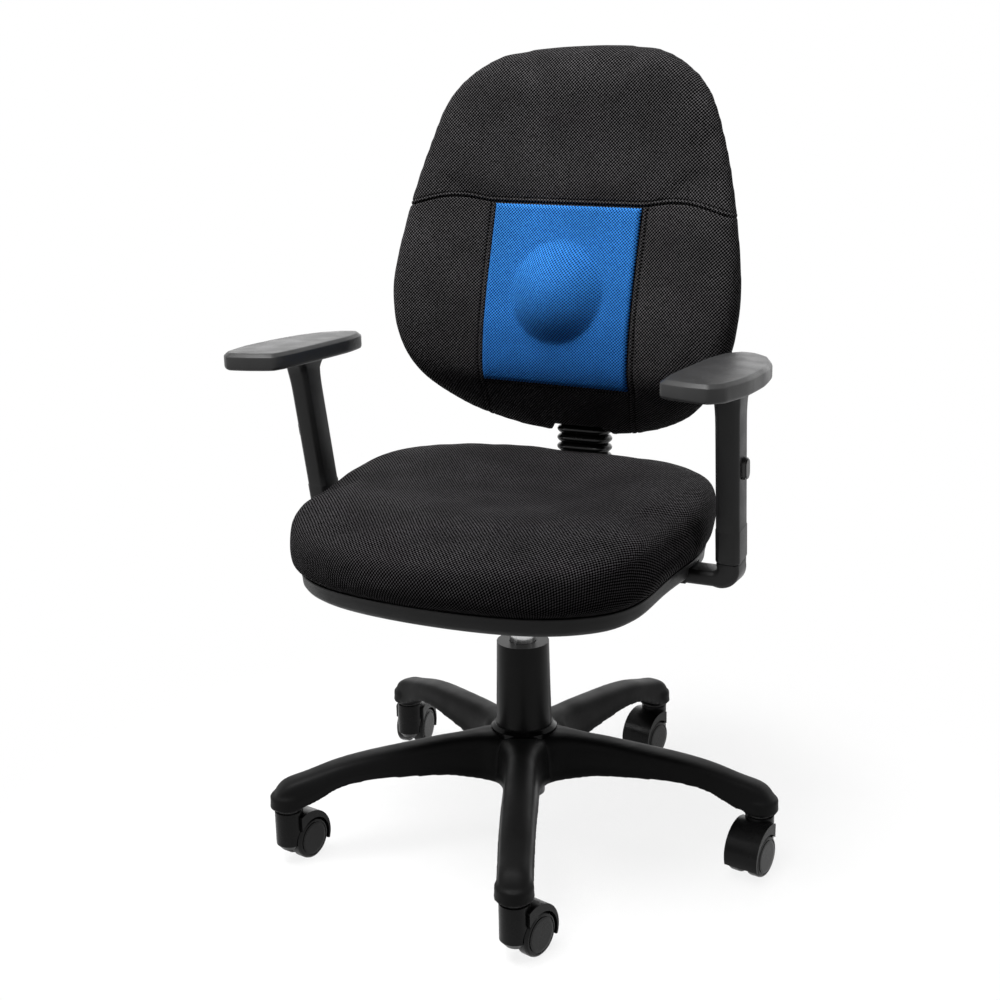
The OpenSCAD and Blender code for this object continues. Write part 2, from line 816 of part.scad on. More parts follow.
module seat_cover() {
    foot = 38;
    outer = [[foot + 60, cover_low, 0], [foot + 24, cover_low, 0], [foot, cover_low, 1],
        [foot - 17, cover_low + 3, 1], [foot - 23, cover_low + 10, 1], [rim, cover_rim, 1]];
    inner = [[rim + cover_t, cover_rim, 1], [foot - 23 + cover_t, cover_low + 11, 1],
        [foot - 15 + cover_t, cover_low + 6, 1], [foot + cover_t, cover_low + cover_t, 1],
        [foot + 20, board_z, 0], [foot + 60, board_z, 0]];
    color("#2b2c2e")
        difference() {
            skin([for (r = concat(outer, inner)) seat_low_ring(r[0], r[1], r[2])]);
            translate([-plate_w / 2 - 3, -plate_front - 3, cover_low - 10])
                cube([plate_w + 6, plate_front + plate_rear + 6, 40]);
            for (side = [-1, 1]) {
                translate([side > 0 ? bracket_in - 2 : -seat_w / 2 - 10, -post_y - bracket_d / 2 - 1,
                    cover_low - 10])
                    cube([seat_w / 2 + 12 - bracket_in, bracket_d + 2, 10 + elbow_bar_h + bracket_gap]);
            }
        }
}

module seat_cushion() {
    h = seat_top - board_top;
    color("#26262a")
        skin([
            seat_ring(board_inset - 4, board_top),
            seat_low_ring(rim + 7, board_top + 1, 1),
            seat_low_ring(rim + 3.5, cover_rim + slip, 1),
            seat_low_ring(6, cover_rim + 7, 1),
            seat_low_ring(1.5, board_top + 0.42 * h, 1.25),
            seat_low_ring(0, board_top + 0.6 * h, 1.45),
            seat_top_ring(1.5, board_top + 0.74 * h, 1),
            seat_top_ring(6, board_top + 0.86 * h, 1),
            seat_top_ring(15, board_top + 0.945 * h, 1),
            seat_top_ring(seat_insets[0], board_top + 0.985 * h, 1),
            seat_top_ring(seat_insets[1], seat_top, 1),
            seat_top_ring(seat_insets[2], seat_top, 1),
            seat_top_ring(seat_insets[3], seat_top, 1)
        ]);
}

// Back

// Depth of the bar line at a height
function bar_line(z) = bar_y + tan(back_rake) * (z - bar_mark);

// Value at a share of the height of the back, read off a list by the marks
function at_mark(list, u) =
    let (v = min(1, max(0, u)),
        i = max([for (k = [0:len(BACK_MARKS) - 2]) if (v >= BACK_MARKS[k]) k]),
        t = (v - BACK_MARKS[i]) / (BACK_MARKS[i + 1] - BACK_MARKS[i]),
        last = len(list) - 1)
    curve_point(list[max(0, i - 1)], list[i], list[i + 1], list[min(last, i + 2)], t);

// Forward wrap of a surface past a flat middle
function wrap(x, flat_half, rate) = let (d = max(0, abs(x) - flat_half)) rate * d * d;

function back_front(x, z) = bar_line(z) - at_mark(BACK_FRONTS, (z - back_low) / back_tall)
    - wrap(x, 60, 0.001);

function back_rear(x, z) = bar_line(z) + at_mark(BACK_REARS, (z - back_low) / back_tall)
    - wrap(x, 45, 0.0023);

function board_rear(x, z) = bar_line(z) - (bar_r + slip + block_wall) / cos(back_rake)
    - wrap(x, 45, 0.0019);

function back_outline() = smooth_ring(both_sides(BACK_HALF), 2);

// Outline of the back moved inwards by a distance, as pairs of x and z
function back_pairs(inset) = let (s = 1 - 2 * inset / back_w, t = 1 - 2 * inset / back_tall)
    [for (p = back_outline()) [p[0] * s * back_w / 2, back_mid + p[1] * t * back_tall / 2]];

// Ring between the rear and the front of the back, where share runs from 0 to 1
function back_ring(inset, share) = [for (p = back_pairs(inset))
    [p[0], back_rear(p[0], p[1]) * (1 - share) + back_front(p[0], p[1]) * share, p[1]]];

// Ring at a distance in front of the rear of the back board
function board_ring(inset, ahead) =
    [for (p = back_pairs(inset)) [p[0], board_rear(p[0], p[1]) - ahead, p[1]]];

// Ring at a distance in front of the rear face of the back
function rear_ring(inset, ahead) =
    [for (p = back_pairs(inset)) [p[0], back_rear(p[0], p[1]) - ahead, p[1]]];

// Space for the neck of the back at the lower edge, where the bellows enters
module neck_space() {
    translate([-bellows_w / 2 - 1.5, bar_line(back_low) - bellows_t / 2 - 1.5, back_low - 10])
        cube([bellows_w + 3, bellows_t + 20, 52]);
}

module back_board() {
    color("#b08a5a")
        difference() {
            skin(concat(
                [for (inset = board_insets) board_ring(inset, 0)],
                [board_ring(board_edge, 0), board_ring(board_edge, back_board_t)],
                [for (k = [3:-1:0]) board_ring(board_insets[k], back_board_t)]
            ));
            at_back_screws()
                translate([0, -60, 0])
                    rotate([-90, 0, 0])
                        cylinder(h = 120, r = screw_r);
        }
}

module back_cushion() {
    color("#26262a")
        difference() {
            skin(concat([for (inset = board_insets) board_ring(inset, back_board_t + slip)], [
                board_ring(board_edge - slip, back_board_t + slip),
                board_ring(board_edge - slip, 0),
                rear_ring(23, 16 + slip),
                rear_ring(14, 17.5),
                back_ring(5, 0.31),
                back_ring(0.5, 0.43),
                back_ring(0, 0.53),
                back_ring(1.5, 0.65),
                back_ring(6, 0.78),
                back_ring(15, 0.9),
                back_ring(30, 0.97)
            ], [for (inset = front_insets) back_ring(inset, 1)]), 4);
            at_ball()
                cylinder(h = 200, d = ball_d - 10);
            neck_space();
        }
}

module back_cover() {
    t = cover_t;
    color("#2b2c2e")
        difference() {
            skin([
                rear_ring(board_insets[1], 0),
                rear_ring(board_insets[3], 0),
                rear_ring(38, 0),
                rear_ring(24, 4),
                rear_ring(18, 16),
                rear_ring(18 + t, 16),
                rear_ring(24 + t, 7),
                rear_ring(38 + t, t),
                rear_ring(board_insets[3], t),
                rear_ring(board_insets[1], t)
            ]);
            at_back_screws()
                translate([0, -60, 0])
                    rotate([-90, 0, 0])
                        cylinder(h = 120, r = screw_r);
            neck_space();
        }
}

// Places the screws of the rear cover on its rear face
module at_back_screws() {
    for (x = [-1, 1] * screw_x, z = [-1, 1] * screw_z) {
        translate([x, back_rear(x, back_mid + z), back_mid + z])
            children();
    }
}

module back_screws() {
    color("#161718")
        at_back_screws()
            rotate([90, 0, 0]) {
                translate([0, 0, -2.5])
                    cylinder(h = 2.5, r = 2 * screw_r);
                cylinder(h = screw_l, r = screw_r);
            }
}

// Sliding block that holds the back board on the bar
module back_block() {
    inner_w = bar_w + 2 * slip;
    inner_t = bar_t + 2 * slip;
    outer_w = inner_w + 2 * block_wall;
    outer_t = inner_t + 2 * block_wall;
    color("#1d1e20")
        along_bar()
            difference() {
                union() {
                    translate([-outer_w / 2, -outer_t / 2, block_low - bar_mark])
                        cube([outer_w, outer_t, block_l]);
                    translate([-bellows_w / 2 + 4, -bellows_t / 2 + 4, bellows_high + slip - bar_mark])
                        cube([bellows_w - 8, bellows_t - 8, block_low - bellows_high]);
                }
                translate([-inner_w / 2, -inner_t / 2, -100])
                    cube([inner_w, inner_t, 400]);
            }
}

// Frame on the bar line at the height of the bellows, with Z up the bar
module along_bar() {
    translate([0, bar_y, bar_mark])
        rotate([-back_rake, 0, 0])
            children();
}

// Side view of the bar, from its eye on the pin round the bend to its top
function bar_path(offset) = let (
        bend_y = bar_line(pivot_z + bar_bend) - bar_bend,
        a1 = 90 - back_rake,
        r = bar_bend + offset)
    concat([[pivot_y, pivot_z - offset]],
        [for (k = [0:8]) let (a = a1 * k / 8)
            [bend_y + r * sin(a), pivot_z + bar_bend - r * cos(a)]],
        [[bar_line(bar_top) + offset * cos(back_rake), bar_top - offset * sin(back_rake)]]);

module back_bar() {
    outer = bar_path(bar_r);
    inner = bar_path(-bar_r);
    color("#242528")
        difference() {
            union() {
                rotate([90, 0, 90])
                    translate([0, 0, -bar_w / 2])
                        linear_extrude(bar_w)
                            polygon(concat(outer, [for (k = [len(inner) - 1:-1:0]) inner[k]]));
                translate([0, pivot_y, pivot_z])
                    cross_bar(-mech_half + mech_wall + slip, mech_half - mech_wall - slip, pin_r + 6);
                along_bar()
                    translate([-bellows_w / 2 + 5, -bellows_t / 2 + 5, bellows_low - slip - 4 - bar_mark])
                        cube([bellows_w - 10, bellows_t - 10, 4]);
            }
            translate([0, pivot_y, pivot_z])
                cross_bar(-mech_half, mech_half, pin_r + run);
        }
}

// Oblong ring of 16 points round the bar line
function bellows_ring(w, t, up) = let (r = t / 2 - 2)
    [for (k = [0:15]) let (a = 360 * (k + 0.5) / 16, cx = w / 2 - r, cy = 2)
        [(cos(a) > 0 ? cx : -cx) + r * cos(a), (sin(a) > 0 ? cy : -cy) + r * sin(a), up]];

module bellows() {
    w = bellows_w;
    t = bellows_t;
    g = 2 * bellows_groove;
    color("#141415")
        along_bar()
            translate([0, 0, bellows_low - bar_mark])
                difference() {
                    skin([for (k = [0:rib_count - 1], s = [[0, g], [0.2, g / 5], [0.5, 0], [0.8, g / 5]])
                        bellows_ring(w - s[1], t - s[1], (k + s[0]) * rib_pitch)]);
                    translate([-bar_w / 2 - slip, -bar_r - slip, -10])
                        cube([bar_w + 2 * slip, bar_t + 2 * slip, 200]);
                }
}

// Frame on the floor of the ball's pocket in the cushion, with Z out of the front
module at_ball() {
    translate([0, back_front(0, ball_z) + pocket_depth, ball_z])
        rotate([90 - ball_lean, 0, 0])
            children();
}

// Height of the soft bump that the ball makes in the panel
function bump(x, z) = ball_h * dome(norm([x, z - ball_z]) / (ball_d / 2));

module lumbar_panel() {
    n = 20;
    function panel_row(z, ahead) = [for (i = [0:n]) let (x = panel_w * (i / n - 0.5))
        [x, back_front(x, z) - ahead - bump(x, z), z]];
    function panel_ring(z) = concat(panel_row(z, panel_gap + panel_t),
        [for (i = [n:-1:0]) panel_row(z, panel_gap)[i]]);
    color("#1f5fc4")
        skin([for (k = [0:n]) panel_ring(panel_low + panel_h * k / n)]);
}

// Foam dome behind the panel, as a half section from its flat foot to its top
module lumbar_ball() {
    r = ball_d / 2 - 6;
    h = pocket_depth + ball_h - ball_clear;
    color("#1b1b1d")
        at_ball()
            rotate_extrude()
                polygon(concat([[0, 0], [r, 0]], [for (k = [10:-1:0])
                    [r * k / 10, h - ball_h * (1 - dome(0.94 * k / 10)) - ball_edge * k / 10]]));
}

// Armrests

// Mirrors a left armrest to the right side
module on_side(side) {
    mirror([side > 0 ? 0 : 1, 0, 0])
        children();
}

// Frame on the post axis at the top of the elbow, with Z up the post
module along_post() {
    translate([post_x, -post_y, elbow_top])
        rotate([post_lean, post_splay, 0])
            children();
}

// Rectangle with cut corners, round the post axis
function post_ring(w, d, cut, up) = let (a = w / 2, b = d / 2, c = cut)
    [[a, -b + c, up], [a, b - c, up], [a - c, b, up], [-a + c, b, up], [-a, b - c, up],
        [-a, -b + c, up], [-a + c, -b, up], [a - c, -b, up]];

module at_arm_bolts() {
    for (side = [-1, 1], k = [0:2]) {
        translate([side * (bracket_in + 14 + 30 * k), -post_y, 0])
            children();
    }
}

// Point given across, along and up the post, from the top of the elbow
function post_point(p) = [post_x, -post_y, elbow_top]
    + p[0] * [cos(post_splay), 0, -sin(post_splay)]
    + p[1] * [sin(post_lean) * sin(post_splay), cos(post_lean), sin(post_lean) * cos(post_splay)]
    + p[2] * post_dir;

// Section of the bracket where it turns up by an angle into the post
function elbow_ring(a, h, d) = let (
        mid_x = post_x - elbow_bend + elbow_bend * sin(a),
        mid_z = elbow_bar_z + elbow_bend - elbow_bend * cos(a))
    [for (p = post_ring(h, d, 4, 0)) let (u = p[0] > 0 ? p[0] * (1 + 0.32 * sin(2 * a)) : p[0])
        [mid_x + u * sin(a), -post_y + p[1], mid_z - u * cos(a)]];

module arm_bracket(side) {
    w = sleeve_w - 1;
    d = sleeve_d - 1;
    step_x = seat_w / 2 - board_inset + 2;
    color("#242528")
        on_side(side) {
            difference() {
                union() {
                    translate([bracket_in, -post_y - bracket_d / 2, cover_low])
                        cube([step_x + 12 - bracket_in, bracket_d, bracket_t]);
                    skin(concat(
                        [[for (p = post_ring(elbow_bar_h, bracket_d, 4, 0))
                            [step_x, -post_y + p[1], elbow_bar_z - p[0]]]],
                        [for (k = [0:5]) elbow_ring(18 * k, elbow_bar_h + (w - elbow_bar_h) * k / 5,
                            bracket_d + (d - bracket_d) * k / 5)],
                        [[for (p = post_ring(w, d, 4, -slip)) post_point(p)]]
                    ));
                    along_post()
                        translate([-upright_w / 2, -upright_d / 2, -8])
                            cube([upright_w, upright_d, upright_l + 8]);
                }
                along_post()
                    translate([upright_w / 2 - notch_depth, -button_w / 2 - 2, button_up - button_l / 2 - 3])
                        cube([notch_depth + 1, button_w + 4, 200]);
                for (k = [0:2]) {
                    translate([bracket_in + 14 + 30 * k, -post_y, cover_low - 1])
                        cylinder(h = 20, r = bolt_r);
                }
            }
        }
}

module arm_bolts() {
    color("silver")
        at_arm_bolts()
            translate([0, 0, cover_low])
                bolt(bracket_t + board_t - 1, bolt_r);
}

// Oblong bar along X with round ends up and down
module oblong(x0, x1, w, l) {
    for (z = [-1, 1] * (l - w) / 2) {
        translate([0, 0, z])
            cross_bar(x0, x1, w / 2);
    }
    translate([x0, -w / 2, -(l - w) / 2])
        cube([x1 - x0, w, l - w]);
}

module arm_sleeve(side) {
    w = sleeve_w;
    d = sleeve_d;
    top = post_point([0, 0, post_l]);
    inner_w = w - 2 * sleeve_wall;
    inner_d = d - 2 * sleeve_wall;
    color("#2b2c2e")
        on_side(side)
            difference() {
                skin(concat(
                    [for (s = [[0, 0.4], [1, 1], [39, 1], [40, 0], [post_l - 34, 0], [post_l - 18, 1.5]])
                        [for (p = post_ring(w + s[1], d + s[1], 5, s[0])) post_point(p)]],
                    [for (s = [[10, 5, 10], [4, 8, 18], [0, 9, 22]])
                        [for (p = post_ring(w + s[1], d + s[2], 6, 0))
                            post_point([0, 0, post_l - s[0]]) + [p[0], p[1], 0]]]
                ));
                along_post() {
                    translate([-inner_w / 2, -inner_d / 2, -5])
                        cube([inner_w, inner_d, upright_l + 8]);
                    translate([0, 0, button_up])
                        oblong(inner_w / 2 - 1, w / 2 + 5, button_w + 2 * slip, button_l + 2 * slip);
                }
            }
}

module arm_button(side) {
    face = sleeve_w / 2 - sleeve_wall - slip;
    color("#161718")
        on_side(side)
            along_post()
                translate([0, 0, button_up]) {
                    oblong(face - flange_t, face, button_w + 3, button_l + 3);
                    oblong(face, sleeve_w / 2 + button_out - 1.5, button_w, button_l);
                    oblong(sleeve_w / 2 + button_out - 1.5, sleeve_w / 2 + button_out,
                        button_w - 3, button_l - 3);
                }
}

// Outline of the pad moved inwards by a distance, at a height above its underside
function pad_ring(inset, up) = let (c = [6, -42, 0], s = 1 - inset / 45, t = 1 - inset / 115)
    [for (p = smooth_ring(PAD_OUTLINE, 2))
        [post_x + c[0] + (p[0] - c[0]) * s, -post_y + c[1] + (p[1] - c[1]) * t, pad_low + up]];

module arm_pad(side) {
    color("#303134")
        on_side(side)
            skin([
                pad_ring(7, 0),
                pad_ring(1.5, 4),
                pad_ring(0, 7),
                pad_ring(0, pad_t - 5),
                pad_ring(1.5, pad_t - 2),
                pad_ring(6, pad_t - 0.3),
                pad_ring(14, pad_t)
            ]);
}

star_base();
socket_sleeves();
castor_stems();
column_tube();
column_cover();
guide_bush();
column_bearing();
column_clip();
castor_hood(1);  // castor_hood_1
castor_hood(2);  // castor_hood_2
castor_hood(3);  // castor_hood_3
castor_hood(4);  // castor_hood_4
castor_hood(5);  // castor_hood_5
castor_axle(1);  // castor_axle_1
castor_axle(2);  // castor_axle_2
castor_axle(3);  // castor_axle_3
castor_axle(4);  // castor_axle_4
castor_axle(5);  // castor_axle_5
wheel(1, 1);  // wheel_left_1
wheel(2, 1);  // wheel_left_2
wheel(3, 1);  // wheel_left_3
wheel(4, 1);  // wheel_left_4
wheel(5, 1);  // wheel_left_5
wheel(1, -1);  // wheel_right_1
wheel(2, -1);  // wheel_right_2
wheel(3, -1);  // wheel_right_3
wheel(4, -1);  // wheel_right_4
wheel(5, -1);  // wheel_right_5
piston_rod();
gas_cylinder();
valve_pin();
tilt_housing();
recline_pin();
height_lever();
angle_lever();
seat_bolts();
seat_board();
seat_cover();
seat_cushion();
back_bar();
bellows();
back_block();
back_board();
back_cover();
back_screws();
back_cushion();
lumbar_panel();
lumbar_ball();
arm_bolts();
arm_bracket(1);  // arm_bracket_left
arm_sleeve(1);  // arm_sleeve_left
arm_pad(1);  // arm_pad_left
arm_button(1);  // arm_button_left
arm_bracket(-1);  // arm_bracket_right
arm_sleeve(-1);  // arm_sleeve_right
arm_pad(-1);  // arm_pad_right
arm_button(-1);  // arm_button_right
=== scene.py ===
"""Looks of the office chair: upholstery, mouldings, materials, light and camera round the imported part.

The row frame has its origin on the floor under the column, +Z up, and the chair faces -Y.
Shapes are worked out in millimetres, as in part.scad, and go into Blender in metres.
"""

import math

import bmesh
import bpy
import numpy as np
from mathutils import Matrix, Vector
from mathutils.bvhtree import BVHTree


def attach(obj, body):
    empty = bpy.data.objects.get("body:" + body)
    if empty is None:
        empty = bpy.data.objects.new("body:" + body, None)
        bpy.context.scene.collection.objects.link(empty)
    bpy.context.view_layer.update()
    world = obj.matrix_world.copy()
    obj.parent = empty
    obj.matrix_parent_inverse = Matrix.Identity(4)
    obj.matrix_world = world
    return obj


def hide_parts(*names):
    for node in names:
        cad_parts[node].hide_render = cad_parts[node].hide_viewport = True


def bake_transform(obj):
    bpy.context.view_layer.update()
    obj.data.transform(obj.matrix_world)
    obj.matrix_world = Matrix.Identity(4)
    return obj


MM = 0.001

# Seat, in millimetres
SEAT_W, SEAT_D, SEAT_FRONT = 476, 424, 262
BOARD_Z, BOARD_T, BOARD_INSET = 366, 12, 32
SEAT_COVER_H, COVER_T, SEAT_FOAM = 24, 3, 70
SEAT_DISH, SEAT_FALL, SEAT_RISE, COVER_FALL, RIM = 16, 22, 16, 17, 13
SEAT_MID = SEAT_D / 2 - SEAT_FRONT
BOARD_TOP = BOARD_Z + BOARD_T
COVER_LOW = BOARD_Z - 6
COVER_RIM = COVER_LOW + SEAT_COVER_H
SEAT_TOP = BOARD_TOP + SEAT_FOAM
SEAT_HALF = [
    [0, -1], [0.36, -0.97], [0.63, -0.88], [0.82, -0.72], [0.93, -0.5], [0.97, -0.2],
    [1, 0.16], [0.93, 0.57], [0.7, 0.85], [0.37, 0.98], [0, 1],
]

# Back
BACK_W, BACK_LOW, BACK_HIGH, BACK_RAKE = 456, 475, 950, 3
BAR_Y, BAR_T, BAR_W, SLIP, BLOCK_WALL = 188, 10, 44, 0.3, 4.5
BACK_BOARD_T, BOARD_EDGE = 10, 34
PANEL_W, PANEL_H, PANEL_LOW, PANEL_T = 193, 215, 547, 2.4
BALL_D, BALL_H, BALL_Z, BALL_ROUND = 122, 26, 660, 1.15
BAR_MARK = BACK_LOW - 15
BACK_MID = (BACK_LOW + BACK_HIGH) / 2
BACK_TALL = BACK_HIGH - BACK_LOW
BACK_HALF = [
    [0, -1], [0.35, -0.98], [0.68, -0.85], [0.92, -0.58], [1, -0.25], [0.955, 0.12],
    [0.855, 0.5], [0.73, 0.78], [0.51, 0.945], [0.25, 0.99], [0, 1],
]
BACK_MARKS = [0, 0.06, 0.16, 0.27, 0.39, 0.5, 0.61, 0.75, 0.9, 1]
BACK_FRONTS = [30, 52, 92, 98, 92, 82, 72, 62, 57, 56]
BACK_REARS = [14, 17, 19, 19, 18, 17, 16, 14, 8, -4]

# Bellows
BELLOWS_W, BELLOWS_T, BELLOWS_GROOVE, RIB_PITCH, RIB_COUNT = 73, 40, 6.5, 11.5, 7
BELLOWS_HIGH = BACK_LOW + 7
BELLOWS_LOW = BELLOWS_HIGH - RIB_COUNT * RIB_PITCH

# Tilt plate and armrests
PLATE_W, PLATE_FRONT, PLATE_REAR = 190, 108, 102
POST_X, POST_Y, ELBOW_TOP, POST_LEAN, POST_SPLAY = 266, 16, 390, 9, 1.5
SLEEVE_W, SLEEVE_D, SLEEVE_WALL = 27, 36, 3
PAD_LOW, PAD_T = 590, 20.5
UPRIGHT_L, BRACKET_D, BRACKET_IN = 140, 38, 112
BUTTON_L, BUTTON_W, BUTTON_UP = 25, 15, 109
ELBOW_BAR_H, NOTCH = 17, 6
PAD_OUTLINE = [
    [-33, -140], [-4, -152], [22, -156], [36, -142], [45, -98], [45, -42], [38, 6],
    [24, 40], [2, 62], [-16, 66], [-30, 48], [-37, 8], [-38, -100],
]

# Base
CIRCLE_R, FIRST_ARM, SOCKET_D, SOCKET_H, SOCKET_Z = 295, 24, 42, 34, 68
ARM_ROOT_W, ARM_TIP_W, ARM_WALL = 46, 41, 5
HUB_D, HUB_H, HUB_Z, COLLAR_D, COLLAR_H = 92, 55, 74, 81, 14
HUB_TOP = HUB_Z + HUB_H
RIDGE_Z, SOLE_Z = SOCKET_Z + 70, SOCKET_Z + 14
TUBE_D = 50
STEM_R = 5.5
SOCKET_LIFT = 3
ARM_COUNT = 5

# How the soft pieces and the base are meshed: voxels, room left for swelling, outline and swelling
SEAT_VOXEL, BACK_VOXEL, BASE_VOXEL, QUICK_BASE_VOXEL = 5.5, 6.0, 2.05, 3.5
SWELL_ROOM, SEAT_SWELL, BACK_SWELL = 3.0, 4.0, 4.2
SEAT_EDGE, BACK_EDGE = 0.6, -1.6

# Camera that was matched to the photograph, in metres
CAMERA_PLACE = (0.7219, -1.4464, 0.8450)
CAMERA_RIGHT = (0.88977, 0.45606, -0.01786)
CAMERA_UP = (-0.09908, 0.23122, 0.96784)
CAMERA_AHEAD = (-0.44552, 0.85939, -0.25092)
CAMERA_LENS, SENSOR_W = 50.54, 36.0

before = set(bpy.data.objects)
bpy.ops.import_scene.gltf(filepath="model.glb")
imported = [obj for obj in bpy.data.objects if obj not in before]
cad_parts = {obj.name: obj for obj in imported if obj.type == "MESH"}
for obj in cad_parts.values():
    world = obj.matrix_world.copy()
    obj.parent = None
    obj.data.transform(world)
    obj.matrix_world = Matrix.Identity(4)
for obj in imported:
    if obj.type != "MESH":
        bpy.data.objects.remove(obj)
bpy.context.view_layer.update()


# Curves and rings


def ease(t):
    u = np.clip(t, 0, 1)
    return u * u * (3 - 2 * u)


def curve_point(a, b, c, d, t):
    """Point on a smooth curve between b and c, with a before them and d after them."""
    return 0.5 * (
        2 * b + (c - a) * t + (2 * a - 5 * b + 4 * c - d) * t * t + (3 * b - a - 3 * c + d) * t**3
    )


def smooth_ring(points, steps):
    p = np.array(points, float)
    n = len(p)
    return np.array(
        [
            curve_point(p[(i - 1) % n], p[i], p[(i + 1) % n], p[(i + 2) % n], s / steps)
            for i in range(n)
            for s in range(steps)
        ]
    )


def smooth_rows(rows, steps):
    """Rings between the given ones, on smooth curves through them."""
    p = [np.array(r, float) for r in rows]
    last = len(p) - 1
    out = []
    for i in range(last):
        a, d = p[max(0, i - 1)], p[min(last, i + 2)]
        out += [curve_point(a, p[i], p[i + 1], d, s / steps) for s in range(steps)]
    return out + [p[last]]


def both_sides(half):
    return [list(p) for p in half] + [[-p[0], p[1]] for p in half[-2:0:-1]]


def mesh_object(name, points, faces):
    """Object from points in millimetres."""
    mesh = bpy.data.meshes.new(name)
    mesh.from_pydata([tuple(float(c) * MM for c in p) for p in points], [], faces)
    mesh.validate()
    mesh.update()
    obj = bpy.data.objects.new(name, mesh)
    bpy.context.collection.objects.link(obj)
    return obj


def loft(name, rings):
    """Closed solid through rings that all have the same number of points."""
    n, m = len(rings[0]), len(rings)
    points = [p for ring in rings for p in ring]
    faces = [
        (i * n + j, i * n + (j + 1) % n, (i + 1) * n + (j + 1) % n, (i + 1) * n + j)
        for i in range(m - 1)
        for j in range(n)
    ]
    faces.append(tuple(reversed(range(n))))
    faces.append(tuple(range((m - 1) * n, m * n)))
    obj = mesh_object(name, points, faces)
    outward(obj)
    return obj


def outward(obj):
    bm = bmesh.new()
    bm.from_mesh(obj.data)
    bmesh.ops.recalc_face_normals(bm, faces=bm.faces)
    bm.to_mesh(obj.data)
    bm.free()


def apply_modifiers(obj):
    deps = bpy.context.evaluated_depsgraph_get()
    mesh = bpy.data.meshes.new_from_object(obj.evaluated_get(deps))
    old = obj.data
    obj.modifiers.clear()
    obj.data = mesh
    mesh.name = old.name
    bpy.data.meshes.remove(old)


def cut(obj, tools):
    """Takes the tool objects away from obj, and deletes them."""
    for tool in tools:
        mod = obj.modifiers.new("cut", "BOOLEAN")
        mod.operation = "DIFFERENCE"
        mod.solver = "EXACT"
        mod.object = tool
    apply_modifiers(obj)
    for tool in tools:
        bpy.data.objects.remove(tool)


def join(name, objs):
    """One object with the meshes of all, which it takes over."""
    bm = bmesh.new()
    for o in objs:
        bm.from_mesh(o.data)
    for o in objs:
        bpy.data.objects.remove(o)
    mesh = bpy.data.meshes.new(name)
    bm.to_mesh(mesh)
    bm.free()
    obj = bpy.data.objects.new(name, mesh)
    bpy.context.collection.objects.link(obj)
    return obj


def remesh(obj, size_mm, smooth=0):
    mod = obj.modifiers.new("remesh", "REMESH")
    mod.mode = "VOXEL"
    mod.voxel_size = size_mm * MM
    mod.adaptivity = 0
    if smooth:
        mod = obj.modifiers.new("smooth", "SMOOTH")
        mod.factor = 0.5
        mod.iterations = smooth
    apply_modifiers(obj)


def subdivide(obj):
    mod = obj.modifiers.new("subdivide", "SUBSURF")
    mod.levels = mod.render_levels = 1
    apply_modifiers(obj)


def bevel(obj, width_mm, segments=2, angle=35):
    mod = obj.modifiers.new("bevel", "BEVEL")
    mod.width = width_mm * MM
    mod.segments = segments
    mod.limit_method = "ANGLE"
    mod.angle_limit = math.radians(angle)
    apply_modifiers(obj)


def smooth_shade(obj, angle=40):
    for p in obj.data.polygons:
        p.use_smooth = True
    obj.data.set_sharp_from_angle(angle=math.radians(angle))


def coords(obj):
    co = np.empty(len(obj.data.vertices) * 3)
    obj.data.vertices.foreach_get("co", co)
    return co.reshape(-1, 3) / MM


def normals(obj):
    n = np.empty(len(obj.data.vertices) * 3)
    obj.data.vertices.foreach_get("normal", n)
    return n.reshape(-1, 3)


def set_coords(obj, co):
    obj.data.vertices.foreach_set("co", (co * MM).astype(np.float32).ravel())
    obj.data.update()


def box(name, low, high):
    (x0, y0, z0), (x1, y1, z1) = low, high
    ring = [[x0, y0], [x1, y0], [x1, y1], [x0, y1]]
    return loft(name, [[p + [z0] for p in ring], [p + [z1] for p in ring]])


def cylinder(name, centre, radius, z0, z1, sides):
    turns = [2 * math.pi * k / sides for k in range(sides)]
    rings = [
        [[centre[0] + radius * math.cos(a), centre[1] + radius * math.sin(a), z] for a in turns]
        for z in (z0, z1)
    ]
    return loft(name, rings)


# Node materials


